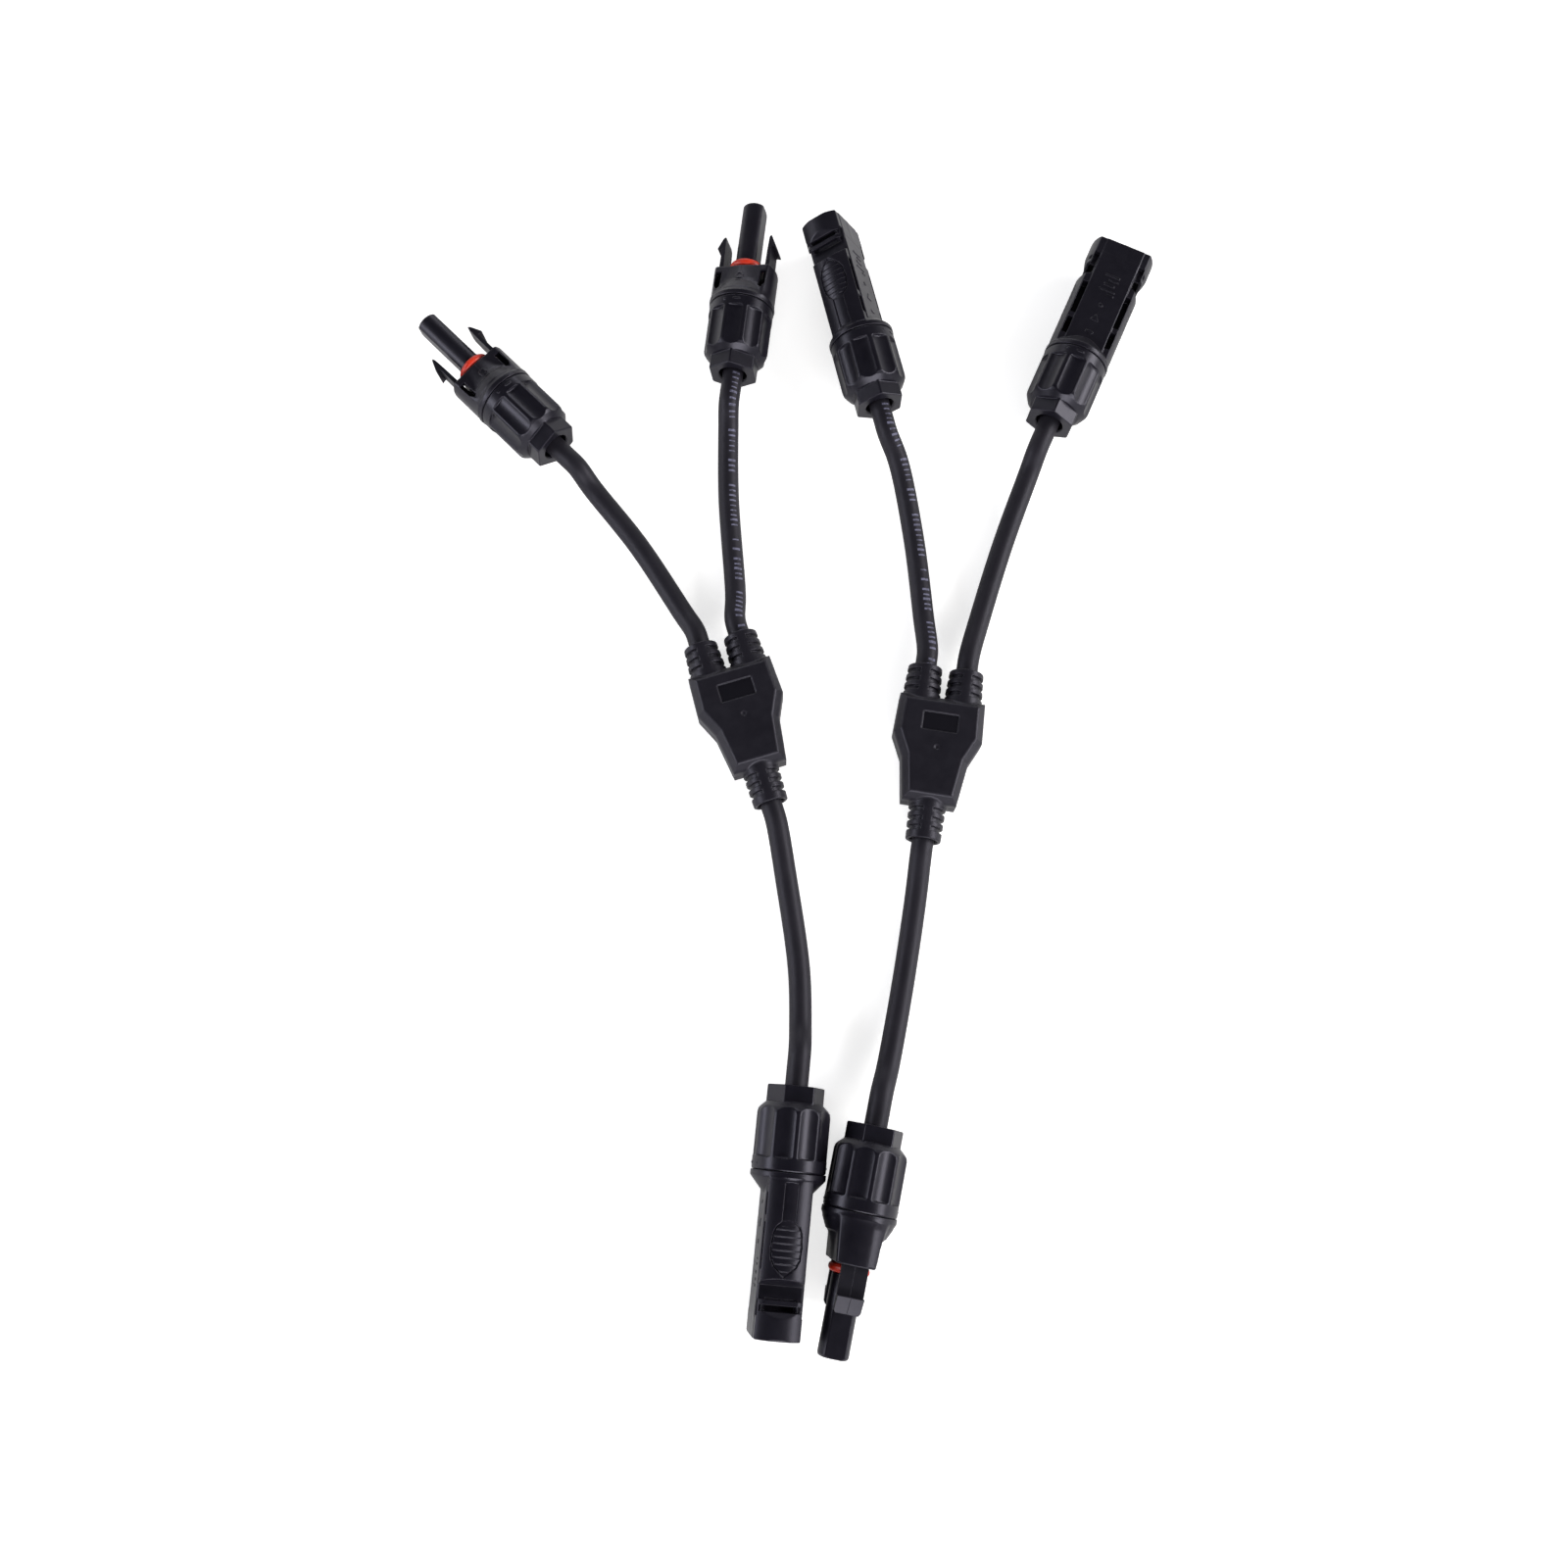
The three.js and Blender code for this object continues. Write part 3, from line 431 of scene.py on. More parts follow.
def plug_grip(shape, x, radius, abs_y, abs_z):
    """Thumb grip on each narrow side: a sunk pointed oval with cross ridges."""
    oval = outline(x, abs_z, GRIP)
    shape = cut(shape, inter(oval, 9.22 - radius, 0.1), 0.2)
    phase = np.mod(x - RIDGE_START_X, RIDGE_PITCH)
    rise = RIDGE_HEIGHT * np.clip(phase / 1.25, 0, 1)
    height = GRIP_FLOOR + rise * np.clip((RIDGE_PITCH - phase) / 0.3, 0, 1)
    ridge = inter(oval + 0.3, (radius - height) * 0.85, 0.12)
    ridge_end = RIDGE_START_X + RIDGE_COUNT * RIDGE_PITCH
    ridge = inter(ridge, slab(x, RIDGE_START_X, ridge_end), 0.1)
    ridge = inter(ridge, 8.3 - radius, 0.1)
    ridge = inter(ridge, 6.5 - abs_y, 0)
    shape = union(shape, ridge, 0.06)
    # shallow groove behind the oval
    groove = inter(inter(abs_z - 1.7, slab(x, 23.6, 34), 0.3), 9.25 - radius, 0.05)
    return cut(shape, groove, 0.12)


def plug_marks(shape, x, y, abs_z):
    """Raised bars, dot, wedge and small oval on both broad faces."""
    for start, end, low, high in MARK_BARS:
        bar = box(x, y, abs_z, (start, low, 5.4), (end, high, MARK_TOP), 0.1)
        shape = union(shape, bar, 0.06)
    dot = np.hypot(x - 38.6, y) - 0.6
    wedge = outline(x, y, MARK_WEDGE)
    oval = np.sqrt(((x - 29.0) / 0.55) ** 2 + (y / 1.3) ** 2) * 0.55 - 0.55
    for mark in (dot, wedge, oval):
        shape = union(shape, inter(mark, slab(abs_z, 5.2, MARK_TOP), 0.1), 0.06)
    return shape


def plug_shape(x, y, z):
    radius, abs_y, abs_z = np.hypot(y, z), np.abs(y), np.abs(z)
    # rails: half cylinders down each narrow side, sloping down to the neck
    rails = inter(outline(x, abs_y, RAIL_PLAN), abs_z - 5.6, 0.2)
    rails = inter(rails, radius - 9.58, 0.15)
    shape = union(housing_tail(x, y, z, PLUG_CONE_END), rails, 0.35)
    for slot in RAIL_SLOTS:
        shape = cut(shape, box(x, abs_y, abs_z, *slot, 0.25), 0.15)
    shape = union(shape, square_core(x, abs_y, abs_z, 23.0, 56.0), 0.12)
    shape = union(shape, box(x, y, z, *NECK, 0.35), 0.12)
    shape = union(shape, plug_head(x, radius, abs_y, abs_z), 0.12)
    # channels for the latch arms, open at the front
    shape = cut(shape, box(x, abs_y, abs_z, *ARM_CHANNEL, 0.2), 0.12)
    # catch slit across the narrow side, wider on the outside
    slit = box(x, abs_y, abs_z, *CATCH_SLIT, 0.15)
    slit = union(slit, box(x, abs_y, abs_z, *CATCH_SLIT_OUTER, 0.15), 0)
    shape = cut(shape, slit, 0.1)
    shape = plug_grip(shape, x, radius, abs_y, abs_z)
    shape = plug_marks(shape, x, y, abs_z)
    bore = union(outline(x, radius, TAIL_HOLLOW), outline(x, radius, PLUG_BORE), 0)
    return cut(shape, union(bore, outline(x, radius, PLUG_CAVITY), 0), 0.1)


# latch arm
ARM_PROFILE = [  # x, y
    (26.05, 6.35), (40, 6.6), (43.8, 6.75), (45.2, 7.0), (45.2, 7.25), (43.2, 8.15),
    (41.1, 9.05), (40.85, 9.0), (41.1, 7.7), (34, 7.75), (26.6, 7.9), (26.05, 7.5)]
ARM_WIDTH = [(20, 0), (20, 3.4), (44.4, 3.4), (45.25, 2.9), (45.25, 0)]  # x, |z|


def arm_shape(x, y, z):
    """One latch arm, on the +y side: a thin tongue and a barbed head."""
    return inter(outline(x, y, ARM_PROFILE), outline(x, np.abs(z), ARM_WIDTH), 0.1)


# contacts: a crimp cup behind, a collar, then the pin or the tube
CRIMP_CUP = [(23.6, 1.6), (30.6, 1.6), (32.0, 0)]
COLLAR = [(33.6, 2.75), (31.8, 2.75), (31.8, 2.2), (23.6, 2.2)]
PIN = [(52.0, 0), (51.85, 0.8), (51.2, 1.5), (50.2, 1.95), (49.6, 2.0), (33.6, 2.0)]
TUBE = [(38, 0), (38, 1.6), (53.6, 1.6), (54.1, 1.95), (54.1, 2.2), (53.8, 2.5), (33.6, 2.5)]


def contact_shape(x, y, z, front):
    part = outline(x, np.hypot(y, z), CRIMP_CUP + front + COLLAR)
    # crimp dents, a pair across y and a pair across z
    for side, start, end in ((y, 25.2, 26.6), (z, 27.8, 29.2)):
        part = cut(part, inter(slab(x, start, end), 2.06 - np.abs(side), 0.1), 0.1)
    return part


def pin_shape(x, y, z):
    groove = inter(slab(x, 36.2, 36.5), 1.86 - np.hypot(y, z), 0.05)
    return cut(contact_shape(x, y, z, PIN), groove, 0.05)


def tube_shape(x, y, z):
    part = contact_shape(x, y, z, TUBE)
    # four spring slits at the mating end
    for side in (y, z):
        slit = inter(np.abs(side) - 0.16, 44.0 - x, 0.1)
        part = cut(part, inter(slit, 1.2 - np.hypot(y, z), 0.05), 0.06)
    return part


# sealing ring
RING_X, RING_RADIUS, RING_THICK_RADIUS = 35.25, 4.12, 1.16
RING_STEPS, RING_SEGMENTS = 36, 120


def o_ring_mesh():
    angle = np.arange(RING_STEPS) * FULL_TURN / RING_STEPS
    x = np.repeat(RING_X + RING_THICK_RADIUS * np.cos(angle), RING_SEGMENTS)
    radius = (RING_RADIUS - RING_THICK_RADIUS * np.sin(angle))[:, None]
    turn = np.arange(RING_SEGMENTS) * FULL_TURN / RING_SEGMENTS
    rings = [(radius * np.cos(turn)).ravel(), (radius * np.sin(turn)).ravel()]
    vertices = np.stack([x, *rings], 1)
    return mesh_of("o_ring_mesh", vertices * MM, ring_quads(RING_STEPS, RING_SEGMENTS))


# ---------------------------------------------------------------- splitter shape
# x runs across the paired boots and +y towards them; z is up.
MOULD_PLAN = [  # x, y
    (-11.8, 0), (-12.3, -11.3), (-9.2, -18), (-7.5, -30), (7.5, -30), (9.2, -18),
    (12.3, -11.3), (11.8, 0)]
MOULD_HALF = 6.3  # half height
# x, root y, end y, root radius, end radius, y direction, first groove, channel depth
BOOTS = (
    (-5.8, -2, 9.2, 5.5, 4.75, 1, 3.3, 14.5),
    (5.8, -2, 9.2, 5.5, 4.75, 1, 3.3, 14.5),
    (0, -28, -40, 5.2, 4.8, -1, 3.4, 16))
GROOVE_COUNT, GROOVE_PITCH, GROOVE_WIDTH, GROOVE_DEPTH = 3, 2.55, 1.2, 0.8
RIB_HALF = 1.3
POCKET_PLAN = [  # x, y
    (-8.7, -3.9), (8.7, -3.9), (8.7, -12), (4.9, -24.5), (-4.9, -24.5), (-8.7, -12)]
PANEL = (-4.95, -10.35, 5.92), (4.95, -5.05, 8)
# cable mouth, as depth from the boot's end and radius
MOUTH = [(-2, 0), (-2, 4.5), (-0.4, 4.2), (0.5, 3.85), (3.4, 3.42), (3.4, 1.6)]


def boot_shape(x, y, z, spec):
    """A boot with grooves, broken by a rib on the top and the underside."""
    boot_x, root_y, end_y, root_radius, end_radius, direction, first_groove, _ = spec
    radius = np.hypot(x - boot_x, z)
    along = (y - root_y) * direction
    length = abs(end_y - root_y)
    outer = root_radius + (end_radius - root_radius) * np.clip(along / length, -0.2, 1.2)
    boot = inter(radius - outer, slab(along, -1, length), 0.35)
    for k in range(GROOVE_COUNT):
        start = first_groove + k * GROOVE_PITCH
        groove = slab(along, start, start + GROOVE_WIDTH)
        groove = inter(groove, outer - GROOVE_DEPTH - radius, 0.05)
        groove = inter(groove, RIB_HALF - np.abs(x - boot_x), 0.15)
        boot = cut(boot, groove, 0.16)
    return boot


def mould_shape(x, y, z):
    abs_z = np.abs(z)
    plan = outline(x, y, MOULD_PLAN)
    chamfer = (2.6 * plan + 2.0 * (abs_z - MOULD_HALF) + 5.2) / 3.28
    body = inter(inter(plan, abs_z - MOULD_HALF, 0.3), chamfer, 0.45)
    left, right, lower = (boot_shape(x, y, z, spec) for spec in BOOTS)
    body = union(body, union(union(left, right, 0.2), lower, 0.2), 0.45)
    # shallow panel and a small dimple on the top
    body = cut(body, box(x, y, z, *PANEL, 0.35), 0.15)
    body = cut(body, np.sqrt(x * x + (y + 14.9) ** 2 + (z - 7.35) ** 2) - 1.35, 0.12)
    # parting line
    body = cut(body, inter(abs_z - 0.09, -(plan + 0.16), 0.02), 0.06)
    # pocket of the inner mould, wire channels and mouths for the cables
    hole = inter(outline(x, y, POCKET_PLAN), abs_z - 3.6, 0.1)
    for boot_x, _, end_y, _, _, direction, _, depth in BOOTS:
        profile = MOUTH + [(depth, 1.6), (depth, 0)]
        mouth = outline((end_y - y) * direction, np.hypot(x - boot_x, z), profile)
        hole = np.minimum(hole, mouth)
    return cut(body, hole, 0.12)


# ---------------------------------------------------------------- shader nodes
class Shader:
    """Builds nodes in one tree. Input values may be numbers, colours or sockets."""

    def __init__(self, tree):
        self.tree = tree

    def feed(self, node, inputs):
        for key, value in inputs.items():
            socket = node.inputs[key]
            if isinstance(value, bpy.types.NodeSocket):
                self.tree.links.new(value, socket)
            elif socket.type == "RGBA":
                socket.default_value = (*value, 1)
            else:
                socket.default_value = value

    def node(self, kind, inputs={}, **settings):
        node = self.tree.nodes.new("ShaderNode" + kind)
        for key, value in settings.items():
            setattr(node, key, value)
        self.feed(node, inputs)
        return node

    def maths(self, operation, *values):
        return self.node("Math", dict(enumerate(values)), operation=operation).outputs[0]

    def times(self, first, second):
        return self.maths("MULTIPLY", first, second)

    def scaled(self, value, span, base):
        return self.maths("ADD", self.times(value, span), base)

    def blend(self, first, share_1, second, share_2):
        return self.maths("ADD", self.times(first, share_1), self.times(second, share_2))

    def ramp(self, source, *stops):
        """Grey ramp through (position, value) stops."""
        node = self.node("ValToRGB", {"Fac": source})
        elements = node.color_ramp.elements
        while len(elements) < len(stops):
            elements.new(0.5)
        for element, (position, grey) in zip(elements, stops):
            element.position = position
            element.color = (grey, grey, grey, 1)
        return node.outputs["Color"]

    def mix(self, share, first, second):
        return self.node("Mix", {0: share, 6: first, 7: second}, data_type="RGBA").outputs[2]

    def noise(self, coords, scale, detail=4, roughness=0.55, stretch=None):
        if stretch is not None:
            coords = self.node("Mapping", {"Scale": stretch, "Vector": coords}).outputs[0]
        inputs = {"Scale": scale, "Detail": detail, "Roughness": roughness, "Vector": coords}
        return self.node("TexNoise", inputs).outputs["Fac"]

    def bump(self, surface, *layers):
        """Stacked bumps, as (height, strength, distance in metres)."""
        normal = {}
        for height, strength, distance in layers:
            inputs = {"Strength": strength, "Distance": distance, "Height": height}
            normal = {"Normal": self.node("Bump", {**inputs, **normal}).outputs["Normal"]}
        self.feed(surface, normal)

    def loc(self):
        return self.node("Attribute", attribute_name="loc").outputs["Vector"]

    def coords(self, own):
        """Object coordinates, or the piece's own ones shifted from piece to piece."""
        if not own:
            return self.node("TexCoord").outputs["Object"]
        shift = self.node("ObjectInfo").outputs["Random"]
        return self.node("VectorMath", {0: self.loc(), 1: shift}, operation="ADD").outputs[0]


def new_material(name):
    material = bpy.data.materials.new(name)
    material.use_nodes = True
    tree = material.node_tree
    return material, Shader(tree), tree.nodes["Principled BSDF"]


# ---------------------------------------------------------------- materials
def inside_box(shader, low, high):
    """1 where the piece's own coordinates lie between two corners, in metres."""
    split = shader.node("SeparateXYZ", {0: shader.loc()})
    inside = None
    for k in range(3):
        for operation, limit in (("GREATER_THAN", low[k]), ("LESS_THAN", high[k])):
            test = shader.maths(operation, split.outputs[k], limit)
            inside = test if inside is None else shader.times(inside, test)
    return inside


def plastic(name, dark, light, smooth, rough, grain=0.10, grain_scale=5200, own=True,
            smooth_panel_painted_shade=None):
    """Mottled plastic; smooth and rough bound its roughness. The optional box given last is a panel with painted
    shade (its colour darkened) and a slightly smoother finish.
    """
    material, shader, surface = new_material(name)
    coords = shader.coords(own)
    big = shader.noise(coords, scale=90, detail=5)
    mid = shader.noise(coords, scale=420)
    fine = shader.noise(coords, scale=grain_scale, detail=2, roughness=0.6)
    scratch = shader.noise(coords, scale=260, detail=6, roughness=0.7, stretch=(1, 9, 9))
    mottle = shader.blend(big, 0.6, mid, 0.4)
    colour = shader.mix(shader.ramp(mottle, (0.3, 0.0), (0.7, 1.0)), dark, light)
    # faint pale dust in the high spots of the scratch noise
    dust = shader.times(shader.ramp(scratch, (0.62, 0.0), (0.82, 1.0)), 0.10)
    colour = shader.mix(dust, colour, tuple(min(1, c * 5 + 0.02) for c in light))
    roughness = shader.scaled(mottle, span=rough - smooth, base=smooth)
    if smooth_panel_painted_shade:
        # painted shade: inside the box the colour is set to 0.7 of the dark tone; the lowered roughness is a
        # smoother finish
        inside = inside_box(shader, *smooth_panel_painted_shade)
        colour = shader.mix(inside, colour, tuple(c * 0.7 for c in dark))
        roughness = shader.maths("SUBTRACT", roughness, shader.times(inside, 0.05))
    shader.feed(surface, {
        "Base Color": colour,
        "Roughness": shader.maths("ADD", roughness, shader.times(dust, 0.9)),
        "IOR": 1.5,
        "Specular IOR Level": 0.40,
        "Specular Tint": (0.86, 0.84, 1.0)})
    shader.bump(surface, (fine, grain, 0.00006), (mid, 0.08, 0.00012), (big, 0.05, 0.0003))
    return material


def printed_dashes(shader, coords, uv):
    """Mask of a row of upright dashes along the jacket, faded in places."""
    split = shader.node("SeparateXYZ", {0: uv})
    along, around = split.outputs[0], split.outputs[1]
    dash_pitch, group_size = 1.55, 11.0  # mm, dashes
    step = shader.times(along, 1000 / dash_pitch)
    cell, part = shader.maths("FLOOR", step), shader.maths("FRACT", step)
    random = shader.node("TexWhiteNoise", noise_dimensions="1D")
    shader.feed(random, {"W": cell})
    random = random.outputs["Value"]
    mask = shader.maths("LESS_THAN", part, shader.scaled(random, span=0.34, base=0.16))
    # leave out some dashes, and the start of each group
    mask = shader.times(mask, shader.maths("GREATER_THAN", random, 0.14))
    group_part = shader.maths("FRACT", shader.times(step, 1 / group_size))
    mask = shader.times(mask, shader.maths("GREATER_THAN", group_part, 0.15))
    row_turn = 0.18  # where the row lies, as a share of the way around
    off_row = shader.maths("ABSOLUTE", shader.maths("SUBTRACT", around, row_turn))
    half_height = shader.scaled(random, span=0.022, base=0.044)
    mask = shader.times(mask, shader.maths("LESS_THAN", off_row, half_height))
    wear = shader.noise(coords, scale=900, roughness=0.7)
    worn = shader.ramp(wear, (0.36, 0.25), (0.56, 1.0))
    return shader.times(mask, shader.times(worn, 0.85))


def jacket(name, marked):
    material, shader, surface = new_material(name)
    outputs = shader.node("TexCoord").outputs
    coords, uv = outputs["Object"], outputs["UV"]
    big = shader.noise(coords, scale=120, detail=5)
    fine = shader.noise(coords, scale=4200, detail=3, roughness=0.65)
    streak = shader.noise(uv, scale=1.0, detail=5, roughness=0.6, stretch=(14, 260, 1))
    mottle = shader.blend(big, 0.5, streak, 0.5)
    dark, light = (0.0088, 0.0080, 0.0118), (0.0165, 0.0152, 0.0208)
    colour = shader.mix(shader.ramp(mottle, (0.32, 0.0), (0.7, 1.0)), dark, light)
    specks = shader.noise(coords, scale=700, detail=6, roughness=0.75)
    dust = shader.times(shader.ramp(specks, (0.6, 0.0), (0.85, 1.0)), 0.10)
    colour = shader.mix(dust, colour, (0.10, 0.097, 0.105))
    if marked:
        colour = shader.mix(printed_dashes(shader, coords, uv), colour, (0.20, 0.20, 0.30))
    shader.feed(surface, {
        "Base Color": colour,
        "Roughness": shader.scaled(mottle, span=0.16, base=0.42),
        "Specular IOR Level": 0.38,
        "Specular Tint": (0.88, 0.86, 1.0)})
    shader.bump(surface, (fine, 0.25, 0.00006), (streak, 0.20, 0.00008), (big, 0.10, 0.0004))
    return material


def silicone():
    material, shader, surface = new_material("o_ring_silicone")
    coords = shader.coords(own=True)
    big = shader.noise(coords, scale=260)
    fine = shader.noise(coords, scale=3800, detail=3, roughness=0.6)
    dark, light = (0.56, 0.020, 0.008), (0.72, 0.042, 0.014)
    shader.feed(surface, {
        "Base Color": shader.mix(shader.ramp(big, (0.35, 0.0), (0.68, 1.0)), dark, light),
        "Roughness": shader.scaled(big, span=0.2, base=0.3),
        "Subsurface Weight": 0.15,
        "Subsurface Radius": (0.001, 0.0003, 0.0001)})
    shader.bump(surface, (fine, 0.2, 0.00005), (big, 0.12, 0.0001))
    return material


def metal(name, dark, light, smooth, rough, wave=2600, axis="X", own=True):
    """Metal with fine lines across the given axis."""
    material, shader, surface = new_material(name)
    coords = shader.coords(own)
    big = shader.noise(coords, scale=300, detail=5)
    inputs = {"Scale": wave, "Distortion": 1.5, "Vector": coords}
    lines = shader.node("TexWave", inputs, bands_direction=axis).outputs["Fac"]
    shader.feed(surface, {
        "Base Color": shader.mix(big, dark, light),
        "Metallic": 1.0,
        "Roughness": shader.scaled(big, span=rough - smooth, base=smooth)})
    shader.bump(surface, (lines, 0.12, 0.00004), (big, 0.1, 0.0001))
    return material


HOUSING = plastic("housing_plastic", dark=(0.0058, 0.0052, 0.0088),
                  light=(0.0098, 0.0090, 0.0140), smooth=0.27, rough=0.40, grain=0.14)
NUT = plastic("nut_plastic", dark=(0.0060, 0.0055, 0.0092),
              light=(0.0102, 0.0095, 0.0146), smooth=0.24, rough=0.36, grain=0.09)
ARM = plastic("latch_plastic", dark=(0.0050, 0.0046, 0.0076),
              light=(0.0085, 0.0080, 0.0118), smooth=0.36, rough=0.48, grain=0.12)
# the recessed top panel of the overmould gets painted shade (darker colour) and a slightly smoother finish
MOULD = plastic("overmould_black", dark=(0.0085, 0.0078, 0.0118),
                light=(0.0150, 0.0140, 0.0195), smooth=0.32, rough=0.48, grain=0.30,
                grain_scale=3600,
                smooth_panel_painted_shade=((-0.0049, -0.0103, 0.0050), (0.0049, -0.0051, 0.00605)))
NYLON = plastic("cage_nylon", dark=(0.035, 0.035, 0.04), light=(0.05, 0.05, 0.055),
                smooth=0.4, rough=0.55, own=False)
SEAL = plastic("seal_rubber", dark=(0.02, 0.02, 0.022), light=(0.035, 0.035, 0.037),
               smooth=0.6, rough=0.75, grain=0.3, own=False)
INNER = plastic("inner_mould", dark=(0.06, 0.06, 0.07), light=(0.09, 0.09, 0.1),
                smooth=0.45, rough=0.6, own=False)
JACKET = jacket("cable_jacket", marked=False)
JACKET_MARKED = jacket("cable_jacket_marked", marked=True)
SILICONE = silicone()
TIN = metal("tinned_contact", dark=(0.62, 0.63, 0.64), light=(0.82, 0.82, 0.81),
            smooth=0.18, rough=0.34)
STRAND = metal("tinned_strand", dark=(0.55, 0.42, 0.33), light=(0.75, 0.66, 0.58),
               smooth=0.28, rough=0.5, wave=900, axis="DIAGONAL", own=False)
FERRULE = metal("ferrule_tin", dark=(0.6, 0.61, 0.62), light=(0.8, 0.8, 0.79),
                smooth=0.2, rough=0.4, own=False)

# CAD pieces kept as they are, by the end of their name
CAD_LOOK = {
    "inner_mould": INNER, "splice_ferrule": FERRULE, "splice_wires": STRAND,
    "cable_conductor": STRAND, "clamp_cage": NYLON, "gland_seal": SEAL}
for name, piece in frame["nodes"].items():
    for ending, material in CAD_LOOK.items():
        if name.endswith(ending):
            piece.data.materials.clear()
            piece.data.materials.append(material)

# ---------------------------------------------------------------- meshes shared by pieces
# piece: mesh name, shape, low corner, high corner, step, material, slot
SKINS = {
    "gland_nut": ("gland_nut_mesh", nut_shape, (0, -9.8, -9.8), (21, 9.8, 9.8), 0.19,
                  NUT, "nut_plastic"),
    "socket_housing": ("socket_mesh", socket_shape, (10.8, -9.8, -9.8), (56.4, 9.8, 9.8),
                       0.2, HOUSING, "housing_plastic"),
    "plug_housing": ("plug_mesh", plug_shape, (10.8, -9.8, -9.8), (FRONT_X, 9.8, 9.8),
                     0.2, HOUSING, "housing_plastic"),
    "splitter_overmould": ("mould_mesh", mould_shape, (-12.4, -40, -6.4), (12.4, 9.3, 6.4),
                           0.2, MOULD, "overmould"),
    "latch_arm_left": ("arm_mesh", arm_shape, (26, 6.2, -3.5), (45.3, 9.1, 3.5), 0.11,
                       ARM, "housing_plastic"),
    "latch_arm_right": ("arm_mesh_b", lambda x, y, z: arm_shape(x, -y, z),
                        (26, -9.1, -3.5), (45.3, -6.2, 3.5), 0.11, ARM, "housing_plastic"),
    "pin_contact": ("pin_mesh", pin_shape, (23.6, -2.8, -2.8), (52.1, 2.8, 2.8), 0.12,
                    TIN, "tinned_contact"),
    "socket_contact": ("tube_mesh", tube_shape, (23.6, -2.8, -2.8), (54.2, 2.8, 2.8), 0.12,
                       TIN, "tinned_contact")}
PIECES = {key: (skin(*row[:5]), *row[5:]) for key, row in SKINS.items()}
PIECES["o_ring"] = (o_ring_mesh(), SILICONE, "o_ring_silicone")
for mesh, material, _ in PIECES.values():
    mesh.materials.append(material)


def place(owner, piece, matrix, body):
    """Put a copy of a piece in place of the CAD node owner_piece, riding on body."""
    mesh, _, slot = PIECES[piece]
    mesh = mesh.copy()
    mesh.transform(matrix)
    cad_node = f"{owner}_{piece}"
    placed = bpy.data.objects.new(cad_node + "_fine", mesh)
    bpy.context.scene.collection.objects.link(placed)
    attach(placed, body)
    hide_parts(cad_node)


def frame_matrix(origin, *axes):
    matrix = Matrix(axes).transposed().to_4x4()
    matrix.translation = origin
    return matrix


# ---------------------------------------------------------------- connectors
NUT_JOINT_X = 10.5
# a mount on each kind of connector, with its x, y, z in the connector's frame
SOCKET_MOUNT = ("_stop_face", STOP_X, 6.9, 4.5)
PLUG_MOUNT = ("_front_face", FRONT_X, 4.6, 4.6)


def place_connector(leg):
    """Place one connector; returns its origin and x axis."""
    joint = JOINTS[leg + "_nut_turn"]
    x_axis = -Vector(joint["axis"]).normalized()
    origin = Vector(joint["pos_m"]) - x_axis * (NUT_JOINT_X * MM)
    # the mount's offset from the x axis gives the turn about it
    suffix, mount_x, mount_y, mount_z = SOCKET_MOUNT if leg in SOCKETS else PLUG_MOUNT
    offset = Vector(MOUNTS[leg + suffix]["pos_m"]) - origin - x_axis * (mount_x * MM)
    z_axis = (offset * mount_z + x_axis.cross(offset) * mount_y).normalized()
    z_axis = (z_axis - x_axis * z_axis.dot(x_axis)).normalized()
    y_axis = z_axis.cross(x_axis).normalized()
    matrix = frame_matrix(origin, x_axis, y_axis, z_axis)
    # the nut keeps the turn of its own spanner flat
    flat = Vector(MOUNTS[leg + "_spanner_flat"]["axis"])
    turn = math.atan2(flat.dot(z_axis), flat.dot(y_axis))
    turn = (turn + math.radians(30)) % math.radians(60) - math.radians(30)
    place(leg, "gland_nut", matrix @ Matrix.Rotation(turn, 4, "X"), leg + "_nut")
    if leg in SOCKETS:
        for piece in ("socket_housing", "socket_contact", "o_ring"):
            place(leg, piece, matrix, leg + "_leg")
        for side in ("left", "right"):
            place(leg, "latch_arm_" + side, matrix, f"{leg}_arm_{side}")
    else:
        for piece in ("plug_housing", "pin_contact"):
            place(leg, piece, matrix, leg + "_leg")
    return origin, x_axis


CONNECTORS = {leg: place_connector(leg) for leg in SOCKETS + PLUGS}

# ---------------------------------------------------------------- splitters
BOOT_JOINT_Y = 6.7


def place_splitter(harness):
    """Place one splitter; returns its origin and y axis."""
    left, right = (
        Vector(JOINTS[f"{harness}_{side}_cable_bend"]["pos_m"]) for side in ("left", "right"))
    x_axis = (right - left).normalized()
    z_axis = Vector((0, 0, 1))
    y_axis = z_axis.cross(x_axis).normalized()
    origin = (left + right) / 2 - y_axis * (BOOT_JOINT_Y * MM)
    matrix = frame_matrix(origin, x_axis, y_axis, z_axis)
    place(harness, "splitter_overmould", matrix, "splitter_" + harness)
    return origin, y_axis


SPLITTERS = {harness: place_splitter(harness) for harness in "ab"}

# ---------------------------------------------------------------- cables
# the point the two harnesses are laid out about, from the origin of splitter a
LAYOUT = SPLITTERS["a"][0] / MM - Vector((-15.3, 31.0, 6.3))
